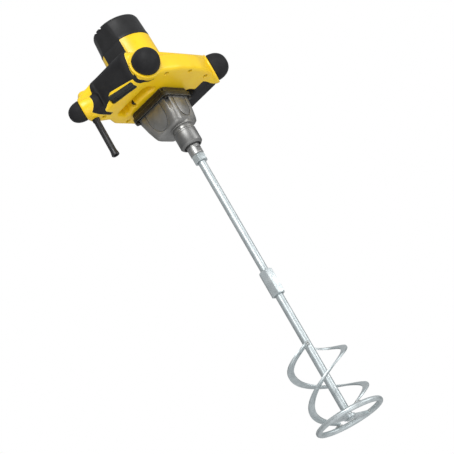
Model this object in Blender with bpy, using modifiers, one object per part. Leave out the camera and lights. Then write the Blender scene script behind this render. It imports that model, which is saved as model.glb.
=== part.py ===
"""Hand-held paint mixer: twin-handle motor head with a two-stage gearbox and a double-helix paddle.

Frame: metres, +Z up along the output spindle, origin on the spindle axis at the paddle's foot.
-X is the handle with the trigger, -Y is the narrow front side, +Y is the wide rear side.
"""
import math

import bmesh
import bpy
from mathutils import Matrix, Vector

# ---------------------------------------------------------------- driving dimensions (metres)
GAP = 0.0003                      # clearance between touching pieces
ROUND_STEPS = 36                  # facets around a large turned piece

# paddle
RING_TUBE_R = 0.0045
RING_CENTRE_R = 0.0555
ROD_R = 0.0070
BLADE_OUTER_R = 0.0530
BLADE_WIDTH = 0.0115
BLADE_THICKNESS = 0.0036
BLADE_PITCH = 0.1380
BLADE_TOP_Z = 0.1400
BLADE_START_ANGLE = math.radians(212.5)
BLADE_STEPS = 44
CROSS_BAR_WIDTH = 0.0110
CROSS_BAR_HEIGHT = 0.0050
HUB_R = 0.0105
HEX_ACROSS_FLATS = 0.0220
COUPLING_BOTTOM_Z = 0.2345
COUPLING_TOP_Z = 0.2810
NUT_BOTTOM_Z = 0.5010
NUT_TOP_Z = 0.5147
ROD_JOINT_Z = 0.2580
ROD_TOP_Z = 0.5400

# spindle and nose
SPINDLE_BOTTOM_Z = 0.5150
SPINDLE_R = 0.0118
SPINDLE_JOURNAL_R = 0.0100
SPINDLE_TOP_R = 0.0050
SPINDLE_TOP_Z = 0.6120
COLLAR_BOTTOM_Z = 0.5330
COLLAR_TOP_Z = 0.5630
COLLAR_R = 0.0200
NECK_R = 0.0187

# gearbox
CASE_BOTTOM_Z = 0.5720
CASE_TOP_Z = 0.6207
CASE_WALL = 0.0032
CASE_TOP_HALF_X = 0.0330
CASE_BOTTOM_HALF_X = 0.0292
CASE_TOP_Y = (-0.0250, 0.0540)
CASE_BOTTOM_Y = (-0.0215, 0.0425)
FLANGE_BOTTOM_Z = 0.6210
FLANGE_STEP_Z = 0.6290
FLANGE_TOP_Z = 0.6377
FLANGE_HALF_X = 0.0370
FLANGE_Y = (-0.0290, 0.0580)
FLANGE_SCREW_INSET = 0.0062

# gear train: armature pinion -> idler gear, idler pinion -> spindle gear
MOTOR_Y = 0.0170
STAGE1_TEETH = (8, 40)
STAGE1_MODULE = 0.0006
STAGE2_TEETH = (11, 37)
STAGE2_MODULE = 0.0010
STAGE1_DISTANCE = STAGE1_MODULE * sum(STAGE1_TEETH) / 2
STAGE2_DISTANCE = STAGE2_MODULE * sum(STAGE2_TEETH) / 2
IDLER_Y = (STAGE2_DISTANCE ** 2 - STAGE1_DISTANCE ** 2 + MOTOR_Y ** 2) / (2 * MOTOR_Y)
IDLER_X = math.sqrt(STAGE2_DISTANCE ** 2 - IDLER_Y ** 2)
IDLER_AT = (IDLER_X, IDLER_Y)
SPINDLE_TO_IDLER = math.atan2(IDLER_Y, IDLER_X)
IDLER_TO_MOTOR = math.atan2(MOTOR_Y - IDLER_Y, -IDLER_X)
PRESSURE_ANGLE = math.radians(20)
SPINDLE_GEAR_Z = (0.5900, 0.6000)
IDLER_PINION_Z = (0.5885, 0.6020)
IDLER_GEAR_Z = (0.6040, 0.6120)
ARMATURE_PINION_Z = (0.6030, 0.6140)

# body shells
UNDERSIDE_Z = 0.6380
SEAM_Z = 0.6680
FRAME_TOP_Z = 0.6900
FRAME_EDGE_R = 0.0055
WALL = 0.0030
HANDLE_BOTTOM_Z = 0.6371
HANDLE_TOP_Z = 0.7010
HANDLE_INNER_X = 0.0670
HANDLE_OUTER_X = 0.1100
HANDLE_Y = (-0.0440, 0.0580)
HANDLE_EDGE_R = 0.0140
GRIP_Y = (-0.0312, 0.0458)
GRIP_THICKNESS = 0.0026
GRIP_WINDOW_INSET = 0.0140        # the left grip's underside window: distances from the handle's faces
GRIP_WINDOW_OVERHANG = 0.0040
GRIP_WINDOW_MARGIN_Y = 0.0100
GRIP_WINDOW_HEIGHT = 0.0120
SHROUD_TOP_Z = 0.7550
SHROUD_TOP_R = 0.0455
SHROUD_BOTTOM_R = 0.0478
SHOULDER_TOP_Z = 0.7060           # the arms' tops slope down from here
SHOULDER_BOTTOM_R = 0.0780
MOTOR_BORE_R = 0.0365
CAP_TOP_Z = 0.8000
CAP_TOP_R = 0.0428
CAP_WALL = 0.0028
CAP_SLOTS = 5                     # air slots on each side of the cap's top
CAP_SLOT_PITCH = 0.0080
ARMATURE_R = 0.0215
AIR_GAP = 0.0012
COMMUTATOR_R = 0.0140
COMMUTATOR_Z = (0.7480, 0.7640)
FAN_R = 0.0345
SIDE_FLAT_X = 0.0410              # the motor block's flat sides: the outer face of the side panels
PANEL_HALF_WIDTH = 0.0215
PANEL_THICKNESS = 0.0018
PANEL_BOTTOM_Z = 0.7075

# corner bumpers: plan position of the base centre, radius, height of the axis, dome length
BUMPER_Z = 0.6590
FRONT_BUMPER = (0.0900, -0.0580)
REAR_BUMPER = (0.1280, 0.0700)
FRONT_BUMPER_R = 0.0242
REAR_BUMPER_R = 0.0182
BUMPER_LENGTH = 0.0260
BUMPER_SPLAY = math.radians(58)   # angle of the bumper axis from the X axis, in plan
STUB_RIM = 0.0018
FRONT_STUB_LENGTH = 0.0315
REAR_STUB_LENGTH = 0.0240
STUB_INNER_END = 0.62             # radius of a stub's buried end, as a share of its outer end

# trigger and cord sleeve
TRIGGER_Y = (-0.0260, 0.0270)
TRIGGER_HEIGHT = 0.0140
TRIGGER_DEPTH = 0.0090
TRIGGER_SURROUND = 0.0032         # width of the frame around the trigger
SLEEVE_AT = (-0.1125, 0.0670)
SLEEVE_R = 0.0065
SLEEVE_BORE_R = 0.0036
SLEEVE_BOTTOM_Z = 0.5640

SCREW_SPOTS = [(0.0520, -0.0600), (0.0980, 0.0600), (0.0275, 0.0690), (0.0480, 0.0280)]
FRONT_SCREW = (0.0, -0.0700)

# ---------------------------------------------------------------- scene and materials
for leftover in list(bpy.data.objects):
    bpy.data.objects.remove(leftover, do_unlink=True)

PARTS = bpy.data.collections.new("drill_paint_mixer")
CUTTERS = bpy.data.collections.new("cutters")
bpy.context.scene.collection.children.link(PARTS)
bpy.context.scene.collection.children.link(CUTTERS)


def material(name, colour, roughness, metallic=0.0):
    """A Principled material."""
    mat = bpy.data.materials.new(name)
    mat.use_nodes = True
    shader = mat.node_tree.nodes["Principled BSDF"]
    shader.inputs["Base Color"].default_value = (*colour, 1.0)
    shader.inputs["Roughness"].default_value = roughness
    shader.inputs["Metallic"].default_value = metallic
    return mat


YELLOW = material("yellow_plastic", (0.93, 0.58, 0.01), 0.40)
BLACK = material("black_plastic", (0.035, 0.035, 0.038), 0.55)
RUBBER = material("black_rubber", (0.040, 0.040, 0.042), 0.75)
CASTING = material("cast_aluminium", (0.36, 0.36, 0.35), 0.35, 0.9)
FLANGE_METAL = material("dark_casting", (0.10, 0.10, 0.09), 0.50, 0.7)
ZINC = material("zinc_plated_steel", (0.55, 0.60, 0.60), 0.28, 1.0)
STEEL = material("machined_steel", (0.48, 0.48, 0.47), 0.30, 1.0)
DARK_STEEL = material("blackened_screws", (0.05, 0.05, 0.05), 0.40, 0.8)
COPPER = material("copper", (0.72, 0.33, 0.16), 0.35, 1.0)
LAMINATION = material("lamination_steel", (0.22, 0.22, 0.23), 0.50, 0.8)
TRIGGER_PLASTIC = material("trigger_plastic", (0.050, 0.060, 0.055), 0.50)
BOARD_GREEN = material("circuit_board", (0.03, 0.16, 0.07), 0.50)
CARBON = material("carbon", (0.03, 0.03, 0.03), 0.65)


# ---------------------------------------------------------------- modelling helpers
def add_object(name, mesh, mat=None, parent=None):
    """Link a mesh as a part when it has a material, or as a hidden cutter when it has none."""
    obj = bpy.data.objects.new(name, mesh)
    if mat is None:
        CUTTERS.objects.link(obj)
        obj.hide_render = True
        obj.display_type = "WIRE"
    else:
        PARTS.objects.link(obj)
        mesh.materials.append(mat)
    if parent is not None:
        obj.parent = parent
        obj.matrix_parent_inverse = Matrix.Translation(-Vector(parent.location))
    return obj


def finish_mesh(bm, name):
    """Turn a bmesh into a smooth-shaded mesh with sharp creases."""
    bmesh.ops.recalc_face_normals(bm, faces=bm.faces)
    if bm.calc_volume(signed=True) < 0:
        bmesh.ops.reverse_faces(bm, faces=bm.faces)
    mesh = bpy.data.meshes.new(name)
    bm.to_mesh(mesh)
    bm.free()
    mesh.shade_smooth()
    mesh.set_sharp_from_angle(angle=math.radians(35))
    return mesh


def box(name, low, high, mat=None, edge=0.0, segments=3, parent=None):
    """A block between two corners with optional rounded edges."""
    bm = bmesh.new()
    bmesh.ops.create_cube(bm, size=1.0)
    size = [h - l for l, h in zip(low, high)]
    middle = [(h + l) / 2 for l, h in zip(low, high)]
    bmesh.ops.scale(bm, vec=size, verts=bm.verts)
    bmesh.ops.translate(bm, vec=middle, verts=bm.verts)
    if edge > 0:
        bmesh.ops.bevel(bm, geom=bm.edges, offset=edge, segments=segments, profile=0.5, affect="EDGES",
                        clamp_overlap=True)
    return add_object(name, finish_mesh(bm, name), mat, parent)


def rod(name, radius, z_low, z_high, at=(0, 0), mat=None, steps=ROUND_STEPS, top_radius=None, parent=None):
    """An upright cylinder, or a cone when top_radius is given."""
    bm = bmesh.new()
    upper = radius if top_radius is None else top_radius
    bmesh.ops.create_cone(bm, cap_ends=True, segments=steps, radius1=radius, radius2=upper,
                          depth=z_high - z_low)
    bmesh.ops.translate(bm, vec=(at[0], at[1], (z_low + z_high) / 2), verts=bm.verts)
    return add_object(name, finish_mesh(bm, name), mat, parent)


def turned(name, profile, at=(0, 0), mat=None, steps=ROUND_STEPS, closed=True, parent=None):
    """A profile of (radius, z) points, outer side first and top to bottom, spun about its own axis."""
    mesh = bpy.data.meshes.new(name)
    count = len(profile)
    edges = [(i, i + 1) for i in range(count - 1)]
    if closed:
        edges.append((count - 1, 0))
    mesh.from_pydata([(r, 0.0, z) for r, z in profile], edges, [])
    obj = add_object(name, mesh, mat, parent)
    obj.location = (at[0], at[1], 0.0)
    screw = obj.modifiers.new("spin", "SCREW")
    screw.axis = "Z"
    screw.steps = steps
    screw.render_steps = steps
    screw.use_merge_vertices = True
    screw.merge_threshold = 0.00001
    screw.use_smooth_shade = True
    return obj


def ring_profile(inner, outer, z_low, z_high):
    """A rectangular ring section for turned()."""
    return [(outer, z_high), (outer, z_low), (inner, z_low), (inner, z_high)]


def prism(name, outline, z_low, z_high, mat=None, parent=None, at=(0, 0)):
    """A closed plan outline raised between two heights."""
    bm = bmesh.new()
    base = [bm.verts.new((at[0] + x, at[1] + y, z_low)) for x, y in outline]
    face = bm.faces.new(base)
    raised = bmesh.ops.extrude_face_region(bm, geom=[face])
    top = [v for v in raised["geom"] if isinstance(v, bmesh.types.BMVert)]
    bmesh.ops.translate(bm, vec=(0, 0, z_high - z_low), verts=top)
    return add_object(name, finish_mesh(bm, name), mat, parent)


def hex_outline(across_flats, turn=0.0):
    """Six corners of a hexagon."""
    corner = across_flats / math.sqrt(3)
    return [(corner * math.cos(turn + k * math.pi / 3), corner * math.sin(turn + k * math.pi / 3))
            for k in range(6)]


def fillet_outline(corners, arc_steps=4):
    """Round each (x, y, radius) corner of a closed outline with an arc."""
    points = []
    count = len(corners)
    for i, (x, y, radius) in enumerate(corners):
        here = Vector((x, y))
        before = Vector(corners[i - 1][:2]) - here
        after = Vector(corners[(i + 1) % count][:2]) - here
        half = before.angle(after) / 2
        if radius <= 0 or abs(half - math.pi / 2) < 0.01:
            points.append((x, y))
            continue
        reach = min(radius / math.tan(half), 0.48 * before.length, 0.48 * after.length)
        radius = reach * math.tan(half)
        centre = here + (before.normalized() + after.normalized()).normalized() * (radius / math.sin(half))
        start = here + before.normalized() * reach - centre
        sweep = (here + after.normalized() * reach - centre).angle_signed(start)
        for k in range(arc_steps + 1):
            turn = sweep * k / arc_steps
            cos_t, sin_t = math.cos(turn), math.sin(turn)
            points.append((centre.x + start.x * cos_t - start.y * sin_t,
                           centre.y + start.x * sin_t + start.y * cos_t))
    return points


def boolean(obj, other, operation="DIFFERENCE", solver="EXACT"):
    """Stack one Boolean modifier on an object."""
    step = obj.modifiers.new(f"{operation.lower()}_{other.name}", "BOOLEAN")
    step.operation = operation
    step.object = other
    step.solver = solver
    return obj


def shell_boolean(shell, other, operation="DIFFERENCE"):
    """Boolean for the body shells, whose many thin cuts need the manifold solver."""
    return boolean(shell, other, operation, "MANIFOLD")


def mirrored_outline(half):
    """Close a left-half outline of (x, y, radius) points with its mirror image."""
    return half + [(-x, y, r) for x, y, r in reversed(half) if x < 0]


def pivot(name, at):
    """An empty on a joint's axis, which carries the moving pieces."""
    empty = bpy.data.objects.new(name, None)
    empty.location = at
    bpy.context.scene.collection.objects.link(empty)
    return empty


# ---------------------------------------------------------------- gears
def involute_outline(module, teeth, pinion, turn=0.0):
    """Spur gear outline with two involute flanks per tooth; a pinion has long teeth, its wheel short ones."""
    addendum = module * (0.95 if pinion else 0.45)
    dedendum = module * (0.75 if pinion else 1.25)
    thinning = 0.22 * module
    pitch_r = module * teeth / 2
    base_r = pitch_r * math.cos(PRESSURE_ANGLE)
    tip_r = pitch_r + addendum
    root_r = pitch_r - dedendum
    involute = math.tan(PRESSURE_ANGLE) - PRESSURE_ANGLE
    half_tooth = math.pi / (2 * teeth) - thinning / (2 * pitch_r)

    def half_angle(radius):
        if radius <= base_r:
            return half_tooth + involute
        pressure = math.acos(base_r / radius)
        return half_tooth + involute - (math.tan(pressure) - pressure)

    flank_start = max(base_r, root_r)
    flank = [flank_start + (tip_r - flank_start) * f for f in (0.0, 1.0)]
    outline = []
    for k in range(teeth):
        middle = turn + 2 * math.pi * k / teeth
        side = [(root_r, half_angle(flank_start))] if pinion and root_r < base_r else []
        side += [(r, half_angle(r)) for r in flank]
        outline += [(r * math.cos(middle - a), r * math.sin(middle - a)) for r, a in side]
        outline += [(r * math.cos(middle + a), r * math.sin(middle + a)) for r, a in reversed(side)]
    return outline


def gear(name, module, teeth, z_range, at, bore, parent, pinion=False, turn=0.0):
    """A spur gear with a bore, or a solid one when the bore is 0."""
    outline = involute_outline(module, teeth, pinion, turn)
    obj = prism(name, outline, *z_range, STEEL, parent, at)
    if bore == 0:
        return obj
    hole = rod(f"{name}_bore", bore, z_range[0] - 0.002, z_range[1] + 0.002, at, steps=24)
    return boolean(obj, hole)


# ---------------------------------------------------------------- paddle
def helix_blade(name, phase, parent):
    """A flat ribbon that leaves the rod, reaches full radius in a quarter turn and ends on the ring."""
    bm = bmesh.new()
    end_z = RING_TUBE_R * 2 + BLADE_THICKNESS / 2 + GAP
    turns = (BLADE_TOP_Z - end_z) / BLADE_PITCH
    previous = None
    for step in range(BLADE_STEPS + 1):
        progress = step / BLADE_STEPS
        turned_by = 2 * math.pi * turns * progress
        angle = phase - turned_by
        z = BLADE_TOP_Z - BLADE_PITCH * turns * progress
        growth = min(1.0, turned_by / (math.pi * 0.44))
        growth = math.sin(growth * math.pi / 2)
        inner_r = ROD_R + GAP + (BLADE_OUTER_R - BLADE_WIDTH - ROD_R - GAP) * growth
        outer_r = inner_r + BLADE_WIDTH
        section = []
        for radius, height in ((inner_r, -0.5), (outer_r, -0.5), (outer_r, 0.5), (inner_r, 0.5)):
            section.append(bm.verts.new((radius * math.cos(angle), radius * math.sin(angle),
                                         z + height * BLADE_THICKNESS)))
        if previous is None:
            bm.faces.new(section)
        else:
            for k in range(4):
                bm.faces.new((previous[k], previous[(k + 1) % 4], section[(k + 1) % 4], section[k]))
        previous = section
    bm.faces.new(list(reversed(previous)))
    return add_object(name, finish_mesh(bm, name), ZINC, parent)


def foot_ring(name, bar_r, mat=None, parent=None):
    """Round-bar ring that stands on the origin plane, or a fatter copy of it that trims the cross bar."""
    profile = [(RING_CENTRE_R + bar_r * math.cos(a), RING_TUBE_R + bar_r * math.sin(a))
               for a in [-2 * math.pi * k / 8 for k in range(8)]]
    return turned(name, profile, mat=mat, steps=44, parent=parent)


def make_paddle(parent):
    """Rods, coupling, nut, blades, ring and cross bar."""
    middle_gap = GAP / 2
    rod("lower_rod", ROD_R, 0.0, ROD_JOINT_Z - middle_gap, mat=ZINC, steps=28, parent=parent)
    bar_half = RING_CENTRE_R - RING_TUBE_R - GAP
    bar = box("cross_bar", (-bar_half, -CROSS_BAR_WIDTH / 2, RING_TUBE_R - CROSS_BAR_HEIGHT / 2),
              (bar_half, CROSS_BAR_WIDTH / 2, RING_TUBE_R + CROSS_BAR_HEIGHT / 2), ZINC, 0.0008, 1, parent)
    boolean(bar, rod("cross_bar_hub", HUB_R, RING_TUBE_R - CROSS_BAR_HEIGHT / 2,
                     RING_TUBE_R + CROSS_BAR_HEIGHT / 2, steps=28), "UNION")
    boolean(bar, rod("cross_bar_hole", ROD_R + GAP, -0.02, 0.03, steps=28))
    boolean(bar, foot_ring("ring_clearance", RING_TUBE_R + GAP))
    rod("upper_rod", ROD_R, ROD_JOINT_Z + middle_gap, ROD_TOP_Z, mat=ZINC, steps=28, parent=parent)
    bore = rod("coupling_bore", ROD_R + GAP, 0.20, 0.53, steps=28)
    sleeve = prism("coupling_sleeve", hex_outline(HEX_ACROSS_FLATS, BLADE_START_ANGLE + 0.12),
                   COUPLING_BOTTOM_Z, COUPLING_TOP_Z, ZINC, parent)
    nut = prism("paddle_nut", hex_outline(HEX_ACROSS_FLATS, BLADE_START_ANGLE - 0.02),
                NUT_BOTTOM_Z, NUT_TOP_Z, ZINC, parent)
    for hexagon in (sleeve, nut):
        boolean(hexagon, bore)
    helix_blade("helix_blade_a", BLADE_START_ANGLE, parent)
    helix_blade("helix_blade_b", BLADE_START_ANGLE + math.pi, parent)
    foot_ring("paddle_ring", RING_TUBE_R, ZINC, parent)


# ---------------------------------------------------------------- spindle, nose and gearbox
def make_spindle(parent):
    """Hollow-ended output spindle with wrench flats."""
    bore_r = ROD_R + GAP
    bore_top = ROD_TOP_Z + 0.002
    shaft = turned("spindle", [(0.0, SPINDLE_TOP_Z), (SPINDLE_TOP_R, SPINDLE_TOP_Z), (SPINDLE_TOP_R, 0.602),
                               (SPINDLE_JOURNAL_R, 0.602), (SPINDLE_JOURNAL_R, 0.544), (SPINDLE_R, 0.543),
                               (SPINDLE_R, SPINDLE_BOTTOM_Z), (bore_r, SPINDLE_BOTTOM_Z),
                               (bore_r, bore_top), (0.0, bore_top)],
                   mat=STEEL, steps=28, closed=False, parent=parent)
    flat_half = 0.0095
    for side in (-1, 1):
        low_y, high_y = sorted((side * flat_half, side * 0.02))
        boolean(shaft, box(f"wrench_flat_{side + 1}", (-0.02, low_y, 0.5175), (0.02, high_y, 0.5265)))
    gear("spindle_gear", STAGE2_MODULE, STAGE2_TEETH[1], SPINDLE_GEAR_Z, (0, 0), SPINDLE_JOURNAL_R + GAP, parent,
         turn=SPINDLE_TO_IDLER)


def make_idler(parent):
    """Intermediate shaft with its wheel and pinion."""
    at = IDLER_AT
    shaft_r = 0.0040
    rod("idler_shaft", shaft_r, 0.5815, 0.6200, at, STEEL, 24, parent=parent)
    gear("idler_pinion", STAGE2_MODULE, STAGE2_TEETH[0], IDLER_PINION_Z, at, shaft_r + GAP / 2, parent, True,
         SPINDLE_TO_IDLER + math.pi + math.pi / STAGE2_TEETH[0])
    gear("idler_gear", STAGE1_MODULE, STAGE1_TEETH[1], IDLER_GEAR_Z, at, shaft_r + GAP, parent, False,
         IDLER_TO_MOTOR)


def make_armature(parent):
    """Armature shaft with pinion, core, commutator and fan."""
    at = (0, MOTOR_Y)
    shaft_r = 0.0045
    rod("armature_shaft", shaft_r, ARMATURE_PINION_Z[1] + GAP, 0.7790, at, STEEL, 24, parent=parent)
    gear("armature_pinion", STAGE1_MODULE, STAGE1_TEETH[0], ARMATURE_PINION_Z, at, 0.0, parent, True,
         IDLER_TO_MOTOR + math.pi + math.pi / STAGE1_TEETH[0])
    turned("armature_core", ring_profile(shaft_r + GAP, ARMATURE_R, 0.6900, 0.7350), at, LAMINATION, 24,
           parent=parent)
    turned("commutator", ring_profile(shaft_r + GAP, COMMUTATOR_R, *COMMUTATOR_Z), at, COPPER, 24, parent=parent)
    fan = turned("cooling_fan", ring_profile(shaft_r + GAP, 0.0120, 0.6560, 0.6680), at, BLACK, 24,
                 parent=parent)
    boolean(fan, turned("fan_disc", ring_profile(0.0100, FAN_R, 0.6560, 0.6580), at, steps=24), "UNION")
    for k in range(9):
        blade = box(f"fan_blade_{k}", (0.0115, -0.0008, 0.6570), (FAN_R - 0.001, 0.0008, 0.6675))
        blade.location = (at[0], at[1], 0)
        blade.rotation_euler = (0, 0, 2 * math.pi * k / 9)
        boolean(fan, blade, "UNION")


def tapered_case(name, inset, z_low, z_high, mat=None, edge=0.010):
    """Gear case block that narrows towards its nose, with rounded corners."""
    bm = bmesh.new()
    bmesh.ops.create_cube(bm, size=1.0)
    for vert in bm.verts:
        top = vert.co.z > 0
        half_x = (CASE_TOP_HALF_X if top else CASE_BOTTOM_HALF_X) - inset
        low_y, high_y = CASE_TOP_Y if top else CASE_BOTTOM_Y
        vert.co.x = half_x if vert.co.x > 0 else -half_x
        vert.co.y = high_y - inset if vert.co.y > 0 else low_y + inset
        vert.co.z = z_high if top else z_low
    uprights = [e for e in bm.edges if abs(e.verts[0].co.z - e.verts[1].co.z) > 0.01]
    bmesh.ops.bevel(bm, geom=uprights, offset=edge, segments=4, profile=0.5, affect="EDGES")
    floor = [e for e in bm.edges if all(abs(v.co.z - z_low) < 1e-6 for v in e.verts)]
    bmesh.ops.bevel(bm, geom=floor, offset=edge * 0.45, segments=3, profile=0.5, affect="EDGES")
    return add_object(name, finish_mesh(bm, name), mat)


def case_panel_cutter(name, width, centre, direction):
    """Shallow U-shaped recess that opens at the top of a case face."""
    radius = width / 2
    bm = bmesh.new()
    outline = [(radius, 0.060), (-radius, 0.060)]
    outline += [(radius * math.cos(a), 0.022 + 1.35 * radius * math.sin(a))
                for a in [math.pi + math.pi * k / 10 for k in range(11)]]
    verts = [bm.verts.new((x, 0.0, z)) for x, z in outline]
    face = bm.faces.new(verts)
    grown = bmesh.ops.extrude_face_region(bm, geom=[face])
    moved = [v for v in grown["geom"] if isinstance(v, bmesh.types.BMVert)]
    bmesh.ops.translate(bm, vec=(0, -0.02, 0), verts=moved)
    cutter = add_object(name, finish_mesh(bm, name))
    cutter.location = (centre[0], centre[1], CASE_BOTTOM_Z + 0.010)
    cutter.rotation_euler = (0, 0, direction)
    return cutter


def make_gearbox():
    """Cast gear case, its flange, collar, seal and bearings."""
    case = tapered_case("gear_housing", 0.0, CASE_BOTTOM_Z, CASE_TOP_Z, CASTING)
    boolean(case, rod("neck", NECK_R, COLLAR_TOP_Z + GAP, CASE_BOTTOM_Z + 0.002), "UNION")
    hollow = tapered_case("case_hollow", CASE_WALL, CASE_BOTTOM_Z + 0.0042, CASE_TOP_Z + 0.002, edge=0.012)
    boolean(case, hollow)
    boolean(case, rod("neck_bore", SPINDLE_JOURNAL_R + 0.0012, 0.55, 0.58, steps=32))
    depth = 0.0010
    case_middle_y = (CASE_TOP_Y[0] + CASE_TOP_Y[1]) / 2
    boolean(case, case_panel_cutter("case_panel_front", 0.036, (0, CASE_BOTTOM_Y[0] - 0.0022 + depth), 0))
    boolean(case, case_panel_cutter("case_panel_left", 0.044, (-CASE_BOTTOM_HALF_X - 0.0022 + depth,
                                                               case_middle_y), -math.pi / 2))
    boolean(case, case_panel_cutter("case_panel_right", 0.044, (CASE_BOTTOM_HALF_X + 0.0022 - depth,
                                                                case_middle_y), math.pi / 2))
    for index, spot in enumerate(flange_screw_spots()):
        boolean(case, rod(f"screw_pocket_{index}", 0.0050, 0.5990, 0.6300, spot, steps=12))
    boss = turned("idler_seat", ring_profile(0.0057, 0.0074, 0.5758, 0.5868), IDLER_AT, steps=24)
    boolean(case, boss, "UNION")

    flange = prism("gearbox_flange", fillet_outline(flange_outline(0.0)), FLANGE_BOTTOM_Z, FLANGE_STEP_Z,
                   FLANGE_METAL)
    upper_tier = prism("flange_upper_tier", fillet_outline(flange_outline(0.0028)), FLANGE_STEP_Z - 0.001,
                       FLANGE_TOP_Z)
    boolean(flange, upper_tier, "UNION")
    boss = turned("upper_bearing_boss", ring_profile(0.0088, 0.0104, 0.6055, 0.6220), steps=32)
    boolean(flange, boss, "UNION")
    boolean(flange, rod("armature_opening", 0.0133, 0.6190, 0.6400, (0, MOTOR_Y), steps=32))
    for index, spot in enumerate(flange_screw_spots()):
        boolean(flange, rod(f"flange_screw_hole_{index}", 0.0026, 0.60, 0.65, spot, steps=10))

    turned("spindle_collar", [(COLLAR_R, COLLAR_TOP_Z), (COLLAR_R, COLLAR_BOTTOM_Z + 0.0040),
                              (COLLAR_R - 0.0036, COLLAR_BOTTOM_Z), (0.0152, COLLAR_BOTTOM_Z), (0.0152, 0.5395),
                              (0.0128, 0.5400), (0.0128, 0.5450), (0.0163, 0.5450), (0.0163, COLLAR_TOP_Z)],
           mat=STEEL, steps=32)
    turned("spindle_seal", ring_profile(SPINDLE_R + GAP, 0.0149, 0.5345, 0.5392), mat=RUBBER, steps=28)
    turned("spindle_bearing_lower", ring_profile(SPINDLE_JOURNAL_R + GAP, 0.0160, 0.5455, 0.5600), mat=STEEL,
           steps=28)
    turned("spindle_bearing_upper", ring_profile(SPINDLE_TOP_R + GAP, 0.0085, 0.6058, 0.6115), mat=STEEL,
           steps=20)
    turned("idler_bearing_lower", ring_profile(0.0043, 0.0054, 0.5825, 0.5868), IDLER_AT, STEEL, 18)
    turned("armature_bearing_lower", ring_profile(0.0048, 0.0130, 0.6240, 0.6320), (0, MOTOR_Y), STEEL, 24)


def flange_outline(inset):
    """Rounded rectangle of the flange with rounded screw corners."""
    half_x = FLANGE_HALF_X - inset
    low_y, high_y = FLANGE_Y[0] + inset, FLANGE_Y[1] - inset
    corner = 0.0100 - inset
    return [(-half_x, low_y, corner), (half_x, low_y, corner), (half_x, high_y, corner),
            (-half_x, high_y, corner)]


def flange_screw_spots():
    """Screw positions in the flange corners."""
    reach_x = FLANGE_HALF_X - FLANGE_SCREW_INSET
    return [(side * reach_x, y) for side in (-1, 1)
            for y in (FLANGE_Y[0] + FLANGE_SCREW_INSET, FLANGE_Y[1] - FLANGE_SCREW_INSET)]


# ---------------------------------------------------------------- body shells
FRAME_HALF = [(0.0, -0.0790, 0.0), (-0.0300, -0.0770, 0.030), (-0.0650, -0.0700, 0.014),
              (-0.1060, -0.0450, 0.014), (-0.1070, 0.0485, 0.008), (-0.1360, 0.0560, 0.016),
              (-0.1160, 0.0790, 0.016), (-0.0740, 0.0700, 0.015), (-0.0520, 0.0800, 0.015), (0.0, 0.0800, 0.0)]
FINGER_GAP = [(-0.0690, -0.0205, 0.008), (-0.0690, 0.0545, 0.008), (-0.0400, 0.0545, 0.006),
              (-0.0480, 0.0400, 0.010), (-0.0515, 0.0170, 0.020), (-0.0480, -0.0060, 0.010),
              (-0.0400, -0.0205, 0.006)]


def filled_curve(name, outlines, z_low, z_high, edge):
    """A flat outline with rounded edges, raised between two heights, as a mesh."""
    curve = bpy.data.curves.new(name, "CURVE")
    curve.dimensions = "2D"
    curve.fill_mode = "BOTH"
    curve.extrude = (z_high - z_low) / 2 - edge
    curve.bevel_depth = edge
    curve.bevel_resolution = 1
    curve.offset = -edge
    for points in outlines:
        spline = curve.splines.new("POLY")
        spline.points.add(len(points) - 1)
        for point, (x, y) in zip(spline.points, points):
            point.co = (x, y, 0.0, 1.0)
        spline.use_cyclic_u = True
    source = bpy.data.objects.new(name, curve)
    CUTTERS.objects.link(source)
    source.location = (0, 0, (z_low + z_high) / 2)
    bpy.context.view_layer.update()
    depsgraph = bpy.context.evaluated_depsgraph_get()
    mesh = bpy.data.meshes.new_from_object(source.evaluated_get(depsgraph))
    matrix = source.matrix_world.copy()
    bpy.data.objects.remove(source, do_unlink=True)
    bm = bmesh.new()
    bm.from_mesh(mesh)
    bmesh.ops.transform(bm, matrix=matrix, verts=bm.verts)
    bmesh.ops.remove_doubles(bm, verts=bm.verts, dist=0.00005)
    return finish_mesh(bm, name)


def handle_bar(name, side, inset, mat=None):
    """Rounded handle block on one side; inset shrinks it all round."""
    x_range = sorted((side * (HANDLE_INNER_X + inset), side * (HANDLE_OUTER_X - inset)))
    return box(name, (x_range[0], HANDLE_Y[0], HANDLE_BOTTOM_Z + inset),
               (x_range[1], HANDLE_Y[1], HANDLE_TOP_Z - inset), mat, HANDLE_EDGE_R - inset, 3)


def bumper_axis(sign_x, sign_y):
    """Outward unit vector of a bumper, in plan."""
    return Vector((sign_x * math.cos(BUMPER_SPLAY), sign_y * math.sin(BUMPER_SPLAY), 0.0))


# label, side of X, base centre, side of Y, radius
BUMPERS = [("front_left", -1, FRONT_BUMPER, -1, FRONT_BUMPER_R),
           ("front_right", 1, FRONT_BUMPER, -1, FRONT_BUMPER_R),
           ("rear_left", -1, REAR_BUMPER, 1, REAR_BUMPER_R),
           ("rear_right", 1, REAR_BUMPER, 1, REAR_BUMPER_R)]


def aim(obj, origin, axis):
    """Place an object built along +Z so that +Z points along axis from origin."""
    obj.location = origin
    obj.rotation_mode = "QUATERNION"
    obj.rotation_quaternion = axis.to_track_quat("Z", "Y")
    return obj


def stub(name, sign_x, spot, sign_y, radius):
    """Tapered arm end behind a bumper."""
    length = FRONT_STUB_LENGTH if sign_y < 0 else REAR_STUB_LENGTH
    rim_r = radius + STUB_RIM
    body = rod(name, rim_r * STUB_INNER_END, -length, 0.0, steps=24, top_radius=rim_r)
    return aim(body, Vector((sign_x * spot[0], spot[1], BUMPER_Z)), bumper_axis(sign_x, sign_y))


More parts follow.
